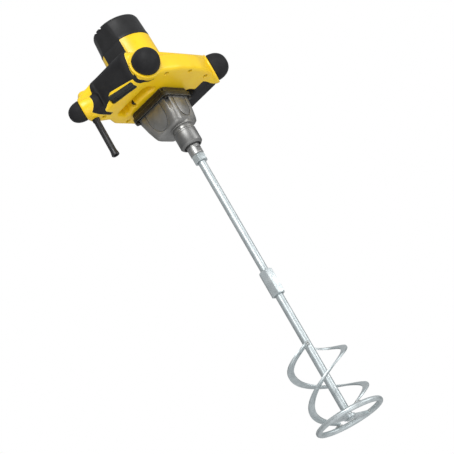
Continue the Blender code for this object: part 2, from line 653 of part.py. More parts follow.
def make_bumpers():
    """Four rubber domes."""
    for label, sign_x, spot, sign_y, radius in BUMPERS:
        profile = [(0.0, BUMPER_LENGTH + GAP)]
        for k in range(1, 7):
            angle = math.pi / 2 * (1 - k / 6)
            profile.append((radius * math.cos(angle) ** 0.85, GAP + BUMPER_LENGTH * math.sin(angle) ** 0.9))
        profile[-1] = (radius, GAP + 0.0008)
        profile += [(radius - 0.0006, GAP), (0.0, GAP)]
        dome = turned(f"bumper_{label}", profile, mat=RUBBER, steps=24, closed=False)
        aim(dome, Vector((sign_x * spot[0], spot[1], BUMPER_Z)), bumper_axis(sign_x, sign_y))


def trigger_block(name, grow, depth_in, depth_out, mat=None, parent=None):
    """Block that lies in the lower outer corner of the left handle, facing down and outwards."""
    half_y = (TRIGGER_Y[1] - TRIGGER_Y[0]) / 2 + grow
    half_h = TRIGGER_HEIGHT / 2 + grow
    block = box(name, (-depth_out, -half_y, -half_h), (depth_in, half_y, half_h), mat,
                0.0020 if mat else 0.0, 2)
    block.location = trigger_seat()
    block.rotation_euler = (0, -math.pi / 4, 0)
    return block


def trigger_seat():
    """Middle of the handle's lower outer rounded corner."""
    corner_in = HANDLE_EDGE_R * (1 - math.sqrt(0.5))
    return ((-HANDLE_OUTER_X + corner_in), (TRIGGER_Y[0] + TRIGGER_Y[1]) / 2, HANDLE_BOTTOM_Z + corner_in)


def grip_windows(side, shrink, label):
    """Openings in the left grip: the underside strip and the trigger's surround. The right grip is whole."""
    if side > 0:
        return []
    outer_x = -HANDLE_OUTER_X + GRIP_WINDOW_INSET + shrink
    inner_x = -HANDLE_INNER_X + GRIP_WINDOW_OVERHANG
    strip = box(f"grip_window_{label}",
                (outer_x, GRIP_Y[0] + GRIP_WINDOW_MARGIN_Y + shrink, UNDERSIDE_Z - 0.01),
                (inner_x, GRIP_Y[1] - GRIP_WINDOW_MARGIN_Y - shrink, UNDERSIDE_Z + GRIP_WINDOW_HEIGHT - shrink))
    surround = trigger_block(f"trigger_surround_{label}", TRIGGER_SURROUND - shrink, 0.012, 0.012)
    return [strip, surround]


def grip_sleeve(name, side, inflate, core_inset, shrink, mat=None):
    """Rubber sleeve around a handle: bar minus core, trimmed to the grip's length and windows."""
    sleeve = handle_bar(name, side, -inflate, mat)
    boolean(sleeve, handle_bar(f"{name}_core", side, core_inset))
    wide = 0.2
    boolean(sleeve, box(f"{name}_length", (-wide, GRIP_Y[0] - shrink, 0.6), (wide, GRIP_Y[1] + shrink, 0.75)),
            "INTERSECT")
    for window in grip_windows(side, shrink, name):
        boolean(sleeve, window)
    return sleeve


def shell_hollows():
    """Cavities shared by both shells."""
    low_z, high_z = UNDERSIDE_Z + WALL, HANDLE_TOP_Z - 0.0065
    hollows = [rod("motor_hollow", MOTOR_BORE_R, low_z, SHROUD_TOP_Z + 0.01, (0, MOTOR_Y))]
    for side in (-1, 1):
        x_range = sorted((side * (HANDLE_INNER_X + 0.0065), side * (HANDLE_OUTER_X - 0.0095)))
        hollows.append(box(f"handle_hollow_{side + 1}", (x_range[0], -0.0340, low_z + 0.0035),
                           (x_range[1], 0.0500, high_z), edge=0.004, segments=1))
    hollows.append(box("front_hollow", (-0.0850, -0.0620, low_z + 0.002), (0.0850, -0.0280, FRAME_TOP_Z - WALL)))
    hollows.append(box("rear_hollow", (-0.1120, 0.0590, low_z + 0.002), (0.1120, 0.0680, FRAME_TOP_Z - 0.012)))
    return hollows


def make_shells():
    """Upper and lower housing shells, split at the seam, hollow and screwed together."""
    right_gap = [(-x, y, r) for x, y, r in reversed(FINGER_GAP)]
    outlines = [fillet_outline(mirrored_outline(FRAME_HALF), 3), fillet_outline(FINGER_GAP, 2),
                fillet_outline(right_gap, 2)]
    frame = filled_curve("frame", outlines, UNDERSIDE_Z, FRAME_TOP_Z, FRAME_EDGE_R)
    additions = [handle_bar(f"handle_{side + 1}", side, 0.0) for side in (-1, 1)]
    additions += [rod(f"screw_boss_{side + 1}", 0.0052, UNDERSIDE_Z, SEAM_Z + 0.010, (side * x, y), steps=12)
                  for x, y in SCREW_SPOTS[3:] for side in (-1, 1)]
    additions += [stub(f"stub_{label}", sx, spot, sy, radius) for label, sx, spot, sy, radius in BUMPERS]
    shroud = rod("shroud", SHROUD_BOTTOM_R, UNDERSIDE_Z + 0.010, SHROUD_TOP_Z, (0, MOTOR_Y), steps=36,
                 top_radius=SHROUD_TOP_R)
    shoulder = rod("shoulder", SHOULDER_BOTTOM_R, FRAME_TOP_Z - 0.002, SHOULDER_TOP_Z, (0, MOTOR_Y), steps=36,
                   top_radius=SHROUD_BOTTOM_R)
    for side, gap in ((-1, FINGER_GAP), (1, right_gap)):
        boolean(shoulder, prism(f"finger_gap_{side + 1}", fillet_outline(gap, 2), 0.6, 0.8))
        boolean(shroud, side_flat(f"shroud_flat_{side + 1}", side, SIDE_FLAT_X, SHOULDER_TOP_Z - 0.002))
    removals = shell_hollows()
    bed_depth = GRIP_THICKNESS + GAP
    grip_beds = [grip_sleeve(f"grip_bed_{side + 1}", side, 0.0010, bed_depth, GAP) for side in (-1, 1)]
    big = 0.3
    regions = {"upper_housing": ((-big, -big, SEAM_Z + GAP / 2), (big, big, 0.9)),
               "lower_housing": ((-big, -big, 0.5), (big, big, SEAM_Z - GAP / 2))}
    for name, (low, high) in regions.items():
        shell = add_object(name, frame.copy(), YELLOW)
        for extra in additions:
            shell_boolean(shell, extra, "UNION")
        if name == "upper_housing":
            shell_boolean(shell, shroud, "UNION")
            shell_boolean(shell, shoulder, "UNION")
        shell_boolean(shell, box(f"{name}_region", low, high), "INTERSECT")
        for hollow in removals:
            shell_boolean(shell, hollow)
        for bed in grip_beds:
            shell_boolean(shell, bed)
        shell_boolean(shell, trigger_block(f"trigger_window_{name}", GAP * 2, 0.020, 0.010))
        cut_shell_details(shell, name)


def cut_shell_details(shell, name):
    """Holes that belong to one shell."""
    if name == "lower_housing":
        shell_boolean(shell, rod("gearbox_opening", 0.0250, 0.60, 0.66, (0, MOTOR_Y), steps=24))
        for index, (x, y) in enumerate(SCREW_SPOTS + [FRONT_SCREW]):
            for side in ((-1, 1) if x else (1,)):
                shell_boolean(shell, rod(f"screw_well_{index}_{side + 1}", 0.0031, UNDERSIDE_Z - 0.01,
                                   UNDERSIDE_Z + 0.0120, (side * x, y), steps=10))
        socket = rod("sleeve_socket", SLEEVE_R + GAP, 0.60, UNDERSIDE_Z + 0.010, SLEEVE_AT, steps=16)
        shell_boolean(shell, socket)
    else:
        for side in (-1, 1):
            x_range = sorted((side * (SIDE_FLAT_X - PANEL_THICKNESS - GAP), side * 0.06))
            shell_boolean(shell, box(f"panel_bed_{side + 1}",
                                     (x_range[0], MOTOR_Y - PANEL_HALF_WIDTH - GAP, PANEL_BOTTOM_Z - GAP),
                                     (x_range[1], MOTOR_Y + PANEL_HALF_WIDTH + GAP, 0.76)))


def side_flat(name, side, x, z_low, z_high=0.85):
    """Block that trims one side of the motor block flat at x."""
    x_range = sorted((side * x, side * 0.08))
    return box(name, (x_range[0], MOTOR_Y - 0.06, z_low), (x_range[1], MOTOR_Y + 0.06, z_high))


def make_panels():
    """Plain black panels on both flat sides of the motor shroud."""
    for side, label in ((-1, "left"), (1, "right")):
        x_range = sorted((side * (SIDE_FLAT_X - PANEL_THICKNESS), side * SIDE_FLAT_X))
        box(f"side_panel_{label}", (x_range[0], MOTOR_Y - PANEL_HALF_WIDTH, PANEL_BOTTOM_Z),
            (x_range[1], MOTOR_Y + PANEL_HALF_WIDTH, SHROUD_TOP_Z), BLACK, 0.0005, 1)


def make_cap():
    """Motor end cap with flat sides, air slots and a bearing boss."""
    at = (0, MOTOR_Y)
    low_z = SHROUD_TOP_Z + GAP
    cap = turned("motor_cap", [(0.0, CAP_TOP_Z), (0.0290, CAP_TOP_Z), (CAP_TOP_R - 0.004, CAP_TOP_Z - 0.0015),
                               (CAP_TOP_R, CAP_TOP_Z - 0.0070), (SHROUD_TOP_R, low_z), (0.0, low_z)],
                 at, BLACK, 32, closed=False)
    hollow = turned("cap_hollow", [(0.0, CAP_TOP_Z - CAP_WALL), (CAP_TOP_R - 2 * CAP_WALL, CAP_TOP_Z - CAP_WALL),
                                   (CAP_TOP_R - CAP_WALL, CAP_TOP_Z - 0.0085), (SHROUD_TOP_R - CAP_WALL, low_z - 0.001),
                                   (0.0, low_z - 0.001)], at, steps=32, closed=False)
    for side in (-1, 1):
        boolean(cap, side_flat(f"cap_flat_{side + 1}", side, SIDE_FLAT_X, SHROUD_TOP_Z - 0.01))
        boolean(hollow, side_flat(f"hollow_flat_{side + 1}", side, SIDE_FLAT_X - CAP_WALL, SHROUD_TOP_Z - 0.01))
    boolean(hollow, turned("bearing_seat", ring_profile(0.0113, 0.0140, 0.7690, CAP_TOP_Z), at, steps=20))
    boolean(cap, hollow, solver="MANIFOLD")
    for k in range(CAP_SLOTS):
        y = MOTOR_Y + (k - (CAP_SLOTS - 1) / 2) * CAP_SLOT_PITCH
        for side in (-1, 1):
            x_range = sorted((side * 0.0180, side * 0.0300))
            boolean(cap, box(f"cap_slot_{k}_{side + 1}", (x_range[0], y - 0.0018, CAP_TOP_Z - 0.012),
                             (x_range[1], y + 0.0018, CAP_TOP_Z + 0.002)))
    turned("armature_bearing_upper", ring_profile(0.0048, 0.0110, 0.7700, 0.7770), at, STEEL, 20)


# ---------------------------------------------------------------- inner pieces of the head
def make_motor_statics():
    """Stator, field coils, brush holders and brushes."""
    at = (0, MOTOR_Y)
    turned("stator_core", ring_profile(ARMATURE_R + AIR_GAP, MOTOR_BORE_R - 0.0006, 0.6920, 0.7330), at, LAMINATION, 24)
    coil = (ARMATURE_R + AIR_GAP + 0.0013, MOTOR_BORE_R - 0.0040)
    turned("field_coil_upper", ring_profile(*coil, 0.7333, 0.7430), at, COPPER, 24)
    turned("field_coil_lower", ring_profile(*coil, 0.6820, 0.6917), at, COPPER, 24)
    for side, label in ((-1, "left"), (1, "right")):
        x_range = sorted((side * (COMMUTATOR_R + 0.0025), side * (MOTOR_BORE_R - 0.0030)))
        holder = box(f"brush_holder_{label}", (x_range[0], MOTOR_Y - 0.0050, 0.7500),
                     (x_range[1], MOTOR_Y + 0.0050, 0.7620), BLACK)
        tunnel = sorted((side * 0.0100, side * 0.0450))
        boolean(holder, box(f"brush_tunnel_{label}", (tunnel[0], MOTOR_Y - 0.0033, 0.7520),
                            (tunnel[1], MOTOR_Y + 0.0033, 0.7600)))
        brush = sorted((side * (COMMUTATOR_R + 0.0004), side * 0.0280))
        box(f"carbon_brush_{label}", (brush[0], MOTOR_Y - 0.0030, 0.7523), (brush[1], MOTOR_Y + 0.0030, 0.7597),
            CARBON)


def make_electrics():
    """Switch, speed board, cord clamp and strain-relief sleeve."""
    box("switch_body", (-0.0940, -0.0120, 0.6620), (-0.0780, 0.0240, 0.6900), BLACK, 0.0008, 1)
    box("speed_board", (0.0780, -0.0250, 0.6640), (0.0965, 0.0350, 0.6662), BOARD_GREEN)
    turned("cord_sleeve", [(SLEEVE_R, UNDERSIDE_Z + 0.0095), (SLEEVE_R - 0.0006, 0.6300), (SLEEVE_R - 0.0006, 0.5720),
                           (SLEEVE_R + 0.0002, 0.5690), (SLEEVE_R + 0.0002, SLEEVE_BOTTOM_Z + 0.001),
                           (SLEEVE_R - 0.0008, SLEEVE_BOTTOM_Z), (SLEEVE_BORE_R, SLEEVE_BOTTOM_Z),
                           (SLEEVE_BORE_R, UNDERSIDE_Z + 0.0095)],
           SLEEVE_AT, RUBBER, 16)


def make_trigger(parent):
    """Sliding trigger and its return spring."""
    trigger = trigger_block("trigger", 0.0, TRIGGER_DEPTH - 0.0022, 0.0022, TRIGGER_PLASTIC)
    trigger.parent = parent
    trigger.matrix_parent_inverse = Matrix.Translation(-Vector(parent.location))
    seat = Vector(trigger_seat())
    inward = Vector((math.sqrt(0.5), 0.0, math.sqrt(0.5)))
    turns = 4
    coil_r = 0.0030
    curve = bpy.data.curves.new("trigger_spring", "CURVE")
    curve.dimensions = "3D"
    curve.bevel_depth = 0.0004
    curve.bevel_resolution = 0
    curve.use_fill_caps = True
    spline = curve.splines.new("POLY")
    count = turns * 7
    spline.points.add(count)
    for k, point in enumerate(spline.points):
        angle = 2 * math.pi * turns * k / count
        point.co = (coil_r * math.cos(angle), coil_r * math.sin(angle), 0.0062 * k / count, 1.0)
    spring = bpy.data.objects.new("trigger_spring", curve)
    PARTS.objects.link(spring)
    curve.materials.append(STEEL)
    aim(spring, seat + inward * (TRIGGER_DEPTH - 0.0022 + 0.0010), inward)


def screw(name, spot, head_z, head_r, shank_r, shank_length):
    """A pan-head screw seen from below: head at the bottom, shank upwards."""
    low_z, high_z = head_z
    turned(name, [(0.0, high_z + shank_length), (shank_r, high_z + shank_length), (shank_r, high_z),
                  (head_r, high_z), (head_r, low_z + 0.0008), (head_r * 0.82, low_z), (0.0, low_z)],
           spot, DARK_STEEL, 10, closed=False)


def make_screws():
    """Screws that hold the lower shell and the gearbox flange."""
    shell_head = (UNDERSIDE_Z + 0.0050, UNDERSIDE_Z + 0.0080)
    labels = ("front_right", "front_left", "rear_right", "rear_left", "front_middle")
    spots = [(side * x, y) for x, y in SCREW_SPOTS[:2] for side in (1, -1)] + [FRONT_SCREW]
    for label, spot in zip(labels, spots):
        screw(f"housing_screw_{label}", spot, shell_head, 0.0027, 0.0014, 0.0030)
    flange_head = (FLANGE_BOTTOM_Z - 0.0042, FLANGE_BOTTOM_Z - GAP)
    for index, spot in enumerate(flange_screw_spots(), start=1):
        screw(f"flange_screw_{index}", spot, flange_head, 0.0044, 0.0023, 0.0160)


# ---------------------------------------------------------------- assembly
SPINDLE_PIVOT = pivot("spindle_pivot", (0, 0, 0))
IDLER_PIVOT = pivot("idler_pivot", (*IDLER_AT, 0))
ARMATURE_PIVOT = pivot("armature_pivot", (0, MOTOR_Y, 0))
TRIGGER_PIVOT = pivot("trigger_pivot", trigger_seat())

make_paddle(SPINDLE_PIVOT)
make_spindle(SPINDLE_PIVOT)
make_idler(IDLER_PIVOT)
make_armature(ARMATURE_PIVOT)
make_gearbox()
make_shells()
for grip_side, grip_label in ((-1, "left"), (1, "right")):
    grip_sleeve(f"grip_{grip_label}", grip_side, 0.0, GRIP_THICKNESS, 0.0, RUBBER)
make_bumpers()
make_panels()
make_cap()
make_motor_statics()
make_electrics()
make_trigger(TRIGGER_PIVOT)
make_screws()
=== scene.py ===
"""Looks of the hand-held paint mixer: moulded shells, rubber grips, castings and a zinc-plated paddle.

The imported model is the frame. Every piece built here sits where its CAD node sits and rides on its body.
Metres, +Z up along the spindle, -X is the handle with the trigger, -Y is the narrow front.
"""
import math

import bmesh
import bpy
from mathutils import Matrix, Vector


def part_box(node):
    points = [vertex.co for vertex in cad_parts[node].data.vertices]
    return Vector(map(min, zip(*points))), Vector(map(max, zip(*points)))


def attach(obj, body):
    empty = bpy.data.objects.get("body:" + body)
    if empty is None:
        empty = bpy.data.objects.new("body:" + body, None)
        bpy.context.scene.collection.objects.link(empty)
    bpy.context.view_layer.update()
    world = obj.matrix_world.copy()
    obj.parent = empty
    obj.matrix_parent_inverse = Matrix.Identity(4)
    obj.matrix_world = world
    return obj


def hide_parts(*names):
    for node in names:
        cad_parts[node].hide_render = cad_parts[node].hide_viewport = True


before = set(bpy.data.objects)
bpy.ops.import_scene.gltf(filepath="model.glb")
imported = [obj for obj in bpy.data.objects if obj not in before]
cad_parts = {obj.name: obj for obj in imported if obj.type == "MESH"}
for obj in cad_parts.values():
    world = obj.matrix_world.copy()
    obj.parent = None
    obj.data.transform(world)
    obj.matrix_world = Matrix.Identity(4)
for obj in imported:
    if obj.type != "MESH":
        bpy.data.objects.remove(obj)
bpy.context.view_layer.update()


# ---------------------------------------------------------------- sizes, from the frame where it holds them
def low(node):
    """Lowest corner of a CAD node."""
    return Vector(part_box(node)[0])


def high(node):
    """Highest corner of a CAD node."""
    return Vector(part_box(node)[1])


def middle(node):
    """Centre of a CAD node's box."""
    return (low(node) + high(node)) / 2


GAP = 0.0003

# moulded body
SEAM_Z = high("lower_housing").z + GAP / 2
UNDERSIDE_Z = high("gearbox_flange").z + GAP
FRAME_TOP_Z = 0.69
FRAME_EDGE_R = 0.006
SHELL_WALL = 0.0032
SHOULDER_TOP_Z = 0.706
SHOULDER_R = 0.078
SLOPE = 0.88                      # rise of the front arm's top towards the motor
SLOPE_Z = 0.67                    # height of that slope at the front edge
FRONT_Y = -0.077
HANDLE_OUTER_X = -low("grip_left").x
HANDLE_INNER_X = -high("grip_left").x
HANDLE_BOTTOM_Z = low("grip_left").z
HANDLE_TOP_Z = high("grip_left").z
HANDLE_Y = (-0.044, 0.058)
HANDLE_EDGE_R = 0.015
GRIP_DEPTH = 0.0018

# motor block
MOTOR_Y = middle("motor_cap").y
MOTOR_BORE_R = 0.0372
SHROUD_BOTTOM_R = 0.0478
SHROUD_TOP_R = 0.0455
SHROUD_TOP_Z = low("motor_cap").z
CAP_TOP_Z = high("motor_cap").z
CAP_TOP_R = 0.0432
CAP_WALL = 0.0028
SIDE_FLAT_X = 0.04                # flat sides of the motor block
PANEL_HALF = (high("side_panel_left").y - low("side_panel_left").y) / 2
PANEL_LOW_Z = low("side_panel_left").z
PANEL_BED = 0.0021                # depth of the shroud's bed for a side panel
SIDE_VENTS = 2
TOP_SLOTS = 5
OUT_X = 0.08                      # beyond the motor block's sides
ABOVE_Z = 0.85                    # above the cap

# bumpers and trigger
BUMPER_Z = middle("bumper_front_left").z
FRONT_BUMPER = (0.09, -0.058)
REAR_BUMPER = (0.128, 0.07)
FRONT_BUMPER_R = (high("bumper_front_left").z - low("bumper_front_left").z) / 2
REAR_BUMPER_R = (high("bumper_rear_left").z - low("bumper_rear_left").z) / 2
FRONT_BUMPER_LENGTH = 0.0285
BUMPER_LENGTH = 0.025
BUMPER_SPLAY = math.radians(58)
BUMPER_RIM = 0.002
FRONT_RIM = 0.003                 # how far the yellow rims reach past the bumpers
REAR_RIM = 0.0014
TRIGGER_HALF_Y = (high("trigger").y - low("trigger").y) / 2
TRIGGER_HALF_Z = 0.007
TRIGGER_TILT = math.radians(9.0)  # the front end sits lower than the rear end

# gearbox, spindle and paddle
CASE_TOP_Z = high("gear_housing").z
CASE_BOTTOM_Z = 0.572
NECK_BOTTOM_Z = low("gear_housing").z
FLANGE_LOW_Z = 0.621
FLANGE_STEP_Z = 0.629
WRENCH_FLAT_Y = 0.0095
WRENCH_FLAT_Z = (0.5175, 0.5265)
HEX_ACROSS_FLATS = 0.022
ROD_R = (high("lower_rod").x - low("lower_rod").x) / 2
RING_BAR_R = (high("paddle_ring").z - low("paddle_ring").z) / 2
RING_CENTRE_R = high("paddle_ring").x - RING_BAR_R
BLADE_OUTER_R = 0.053
BLADE_WIDTH = 0.0115
BLADE_THICKNESS = 0.0036
BLADE_PITCH = 0.138
BLADE_START = math.radians(212.5)
BLADE_TOP_Z = high("helix_blade_a").z - BLADE_THICKNESS / 2
BLADE_STEPS = 180

# plan of the moulded body, left half: (x, y, corner radius), and the finger gap inside the left handle
BODY_HALF = [(0.0, -0.079, 0.0), (-0.03, -0.077, 0.03), (-0.065, -0.07, 0.014),
             (-0.106, -0.045, 0.014), (-0.107, 0.0485, 0.008), (-0.136, 0.056, 0.016),
             (-0.116, 0.079, 0.016), (-0.074, 0.07, 0.015), (-0.052, 0.08, 0.015), (0.0, 0.08, 0.0)]
FINGER_GAP = [(-0.069, -0.0205, 0.008), (-0.069, 0.0545, 0.008), (-0.04, 0.0545, 0.006),
              (-0.048, 0.04, 0.01), (-0.0515, 0.017, 0.02), (-0.048, -0.006, 0.01),
              (-0.04, -0.0205, 0.006)]
SCREW_WELLS = [(0.052, -0.06), (0.098, 0.06), (0.0275, 0.069), (0.048, 0.028)]
FRONT_WELL = (0.0, -0.07)

BUMPERS = [("front_left", -1, FRONT_BUMPER, -1, FRONT_BUMPER_R),
           ("front_right", 1, FRONT_BUMPER, -1, FRONT_BUMPER_R),
           ("rear_left", -1, REAR_BUMPER, 1, REAR_BUMPER_R),
           ("rear_right", 1, REAR_BUMPER, 1, REAR_BUMPER_R)]


# ---------------------------------------------------------------- node helpers for materials
class Recipe:
    """A Principled material whose sockets are fed by a few procedural nodes."""

    def __init__(self, name, metallic=0.0, coat=0.0, specular=0.5):
        self.mat = bpy.data.materials.new(name)
        self.mat.use_nodes = True
        self.tree = self.mat.node_tree
        self.shader = self.tree.nodes["Principled BSDF"]
        self.shader.inputs["Metallic"].default_value = metallic
        self.shader.inputs["Coat Weight"].default_value = coat
        self.shader.inputs["Coat Roughness"].default_value = 0.25
        self.shader.inputs["Specular IOR Level"].default_value = specular
        self.place = self.tree.nodes.new("ShaderNodeTexCoord").outputs["Object"]

    def node(self, kind, **settings):
        """A new node with its plain settings."""
        made = self.tree.nodes.new(kind)
        for key, value in settings.items():
            setattr(made, key, value)
        return made

    def link(self, output, socket):
        """Join two sockets."""
        self.tree.links.new(output, socket)

    def stretched(self, scale):
        """Object coordinates scaled along each axis."""
        mapping = self.node("ShaderNodeMapping")
        mapping.inputs["Scale"].default_value = scale
        self.link(self.place, mapping.inputs["Vector"])
        return mapping.outputs["Vector"]

    def noise(self, scale, detail=4.0, rough=0.55, stretch=None):
        """Noise from 0 to 1 with features about 1/scale metres across."""
        texture = self.node("ShaderNodeTexNoise")
        texture.inputs["Scale"].default_value = scale
        texture.inputs["Detail"].default_value = detail
        texture.inputs["Roughness"].default_value = rough
        self.link(self.stretched(stretch) if stretch else self.place, texture.inputs["Vector"])
        return texture.outputs["Fac"]

    def cells(self, scale, feature="F1"):
        """Distance in a cell pattern, for moulded grain and plating."""
        texture = self.node("ShaderNodeTexVoronoi", feature=feature)
        texture.inputs["Scale"].default_value = scale
        self.link(self.place, texture.inputs["Vector"])
        return texture.outputs["Distance"]

    def ramp(self, factor, stops):
        """Colours (position, (r, g, b)) along a factor."""
        made = self.node("ShaderNodeValToRGB")
        band = made.color_ramp
        while len(band.elements) < len(stops):
            band.elements.new(0.5)
        for element, (position, colour) in zip(band.elements, stops):
            element.position = position
            element.color = (*colour, 1.0)
        self.link(factor, made.inputs["Fac"])
        return made.outputs["Color"]

    def span(self, factor, from_low, from_high, to_low, to_high):
        """A factor moved from one range to another, clamped."""
        made = self.node("ShaderNodeMapRange")
        for key, value in zip(("From Min", "From Max", "To Min", "To Max"),
                (from_low, from_high, to_low, to_high)):
            made.inputs[key].default_value = value
        self.link(factor, made.inputs["Value"])
        return made.outputs["Result"]

    def mix(self, factor, first, second):
        """Two colours, as sockets or plain values, mixed by a factor socket."""
        made = self.node("ShaderNodeMix", data_type="RGBA")
        self.link(factor, made.inputs["Factor"])
        for value, socket in ((first, made.inputs["A"]), (second, made.inputs["B"])):
            if isinstance(value, tuple):
                socket.default_value = (*value, 1.0)
            else:
                self.link(value, socket)
        return made.outputs["Result"]

    def edges(self, reach):
        """1 on convex edges and 0 on flats, from a bevelled normal; the materials use it to paint highlights
        on edges.
        """
        bevel = self.node("ShaderNodeBevel", samples=6)
        bevel.inputs["Radius"].default_value = reach
        geometry = self.node("ShaderNodeNewGeometry")
        dot = self.node("ShaderNodeVectorMath", operation="DOT_PRODUCT")
        self.link(bevel.outputs["Normal"], dot.inputs[0])
        self.link(geometry.outputs["Normal"], dot.inputs[1])
        return self.span(dot.outputs["Value"], 0.94, 0.8, 0.0, 1.0)

    def bump(self, heights):
        """Stack (factor, strength, distance in metres) bumps on the normal."""
        normal = None
        for factor, strength, distance in heights:
            made = self.node("ShaderNodeBump")
            made.inputs["Strength"].default_value = strength
            made.inputs["Distance"].default_value = distance
            self.link(factor, made.inputs["Height"])
            if normal is not None:
                self.link(normal, made.inputs["Normal"])
            normal = made.outputs["Normal"]
        self.link(normal, self.shader.inputs["Normal"])

    def finish(self, colour, roughness):
        """Feed colour and roughness and give the material."""
        self.link(colour, self.shader.inputs["Base Color"])
        self.link(roughness, self.shader.inputs["Roughness"])
        return self.mat


def yellow_plastic():
    """Satin yellow moulding: fine spark grain, faint flow marks and convex edges painted paler as a
    highlight.
    """
    made = Recipe("yellow_moulding", coat=0.15)
    flow = made.ramp(made.noise(22.0, 3.0), [(0.3, (0.93, 0.57, 0.003)), (0.7, (0.98, 0.67, 0.005))])
    specks = made.span(made.noise(900.0, 2.0), 0.62, 0.75, 0.0, 0.22)
    # the convex edges are painted pale yellow: a painted highlight along the rims
    colour = made.mix(made.edges(0.0012), made.mix(specks, flow, (0.84, 0.48, 0.002)), (1.0, 0.8, 0.13))
    made.bump([(made.cells(1500.0), 0.16, 0.0001), (made.noise(60.0, 2.0), 0.1, 0.0006)])
    rough = made.span(made.noise(140.0, 4.0), 0.3, 0.7, 0.34, 0.46)
    return made.finish(colour, rough)


def black_plastic():
    """Fine-grained black moulding of the cap and the side panels."""
    made = Recipe("black_moulding", specular=0.45)
    colour = made.ramp(made.noise(70.0, 5.0), [(0.3, (0.007, 0.007, 0.0075)), (0.72, (0.014, 0.014, 0.015))])
    made.bump([(made.cells(1800.0), 0.3, 0.0001), (made.noise(45.0, 2.0), 0.08, 0.0006)])
    rough = made.span(made.noise(160.0, 4.0), 0.3, 0.7, 0.44, 0.58)
    return made.finish(colour, rough)


def black_rubber():
    """Soft-touch overmould: close pebble grain with a dusty bloom in places."""
    made = Recipe("soft_rubber", specular=0.28)
    base = made.ramp(made.noise(55.0, 4.0), [(0.3, (0.008, 0.008, 0.009)), (0.75, (0.016, 0.016, 0.017))])
    bloom = made.span(made.noise(14.0, 5.0, 0.65), 0.58, 0.78, 0.0, 0.3)
    colour = made.mix(bloom, base, (0.034, 0.033, 0.032))
    made.bump([(made.cells(1100.0), 0.45, 0.00016), (made.noise(2600.0, 2.0), 0.2, 0.00006)])
    rough = made.span(made.noise(90.0, 3.0), 0.3, 0.7, 0.58, 0.74)
    return made.finish(colour, rough)


def cast_aluminium():
    """Die-cast gear case: grainy skin, dull patches, and edges painted bright as a highlight."""
    made = Recipe("die_casting", metallic=0.72)
    cloud = made.ramp(made.noise(48.0, 6.0, 0.62), [(0.28, (0.2, 0.198, 0.19)), (0.52, (0.28, 0.277, 0.265)),
                                                    (0.78, (0.37, 0.365, 0.35))])
    # the convex edges are painted pale grey: a painted highlight that outlines the grooves and corners
    colour = made.mix(made.edges(0.001), cloud, (0.66, 0.65, 0.63))
    made.bump([(made.noise(1500.0, 3.0, 0.6), 0.35, 0.00012), (made.noise(260.0, 3.0), 0.18, 0.0003)])
    rough = made.span(made.noise(120.0, 5.0), 0.28, 0.72, 0.3, 0.5)
    return made.finish(colour, rough)


def dark_casting():
    """Flange casting, darker and browner than the case."""
    made = Recipe("dark_casting", metallic=0.6)
    cloud = made.ramp(made.noise(60.0, 6.0, 0.6), [(0.3, (0.03, 0.029, 0.025)),
            (0.72, (0.075, 0.072, 0.063))])
    # the convex edges are painted pale grey: a painted highlight
    colour = made.mix(made.edges(0.0011), cloud, (0.44, 0.44, 0.41))
    made.bump([(made.noise(1300.0, 3.0, 0.6), 0.35, 0.00012)])
    rough = made.span(made.noise(120.0, 5.0), 0.3, 0.7, 0.34, 0.52)
    return made.finish(colour, rough)


def turned_steel(name="turned_steel", tone=1.0):
    """Machined steel with fine lathe lines around a vertical axis."""
    made = Recipe(name, metallic=1.0)
    lines = made.noise(1.0, 3.0, 0.6, (2.0, 2.0, 5200.0))
    cloud = made.noise(70.0, 5.0)
    colour = made.ramp(cloud, [(0.3, (0.4 * tone, 0.4 * tone, 0.39 * tone)),
                               (0.72, (0.56 * tone, 0.56 * tone, 0.55 * tone))])
    made.bump([(lines, 0.22, 0.00005)])
    rough = made.span(lines, 0.25, 0.75, 0.38, 0.54)
    return made.finish(colour, rough)


def zinc_plating():
    """Bright zinc: pale blue-grey, a little mottled, with dull smears from handling."""
    made = Recipe("zinc_plating", metallic=0.75)
    cloud = made.ramp(made.noise(60.0, 6.0, 0.6), [(0.28, (0.44, 0.49, 0.5)), (0.55, (0.56, 0.61, 0.62)),
                                                   (0.8, (0.68, 0.72, 0.72))])
    stain = made.span(made.noise(26.0, 6.0, 0.7), 0.6, 0.75, 0.0, 0.35)
    colour = made.mix(stain, cloud, (0.46, 0.49, 0.47))
    made.bump([(made.cells(900.0, "SMOOTH_F1"), 0.1, 0.00008), (made.noise(1600.0, 3.0), 0.16, 0.00006)])
    rough = made.span(made.noise(110.0, 5.0), 0.25, 0.75, 0.34, 0.52)
    return made.finish(colour, rough)


def weld_metal():
    """Weld bead: darker zinc over ripples."""
    made = Recipe("weld_bead", metallic=0.9)
    colour = made.ramp(made.noise(300.0, 5.0, 0.7), [(0.3, (0.3, 0.31, 0.3)), (0.7, (0.55, 0.57, 0.56))])
    made.bump([(made.noise(900.0, 4.0, 0.6), 0.6, 0.0003)])
    rough = made.span(made.noise(200.0, 4.0), 0.3, 0.7, 0.34, 0.55)
    return made.finish(colour, rough)


def black_screw():
    """Blackened screw with a painted highlight on its edges."""
    made = Recipe("blackened_screw", metallic=0.8)
    # the convex edges are painted light grey: a painted highlight
    colour = made.mix(made.edges(0.0004), made.ramp(made.noise(400.0, 4.0), [(0.3, (0.022, 0.022, 0.023)),
                                                                          (0.7, (0.05, 0.05, 0.05))]),
                      (0.36, 0.36, 0.35))
    made.bump([(made.noise(2500.0, 3.0), 0.25, 0.00005)])
    return made.finish(colour, made.span(made.noise(500.0, 3.0), 0.3, 0.7, 0.3, 0.45))


def cable_rubber():
    """Glossier black rubber of the cord sleeve, drawn lengthwise."""
    made = Recipe("sleeve_rubber", specular=0.5)
    streak = made.noise(1.0, 3.0, 0.6, (900.0, 900.0, 30.0))
    colour = made.ramp(streak, [(0.35, (0.004, 0.004, 0.004)), (0.75, (0.02, 0.02, 0.02))])
    made.bump([(streak, 0.3, 0.00015)])
    return made.finish(colour, made.span(streak, 0.3, 0.7, 0.3, 0.48))


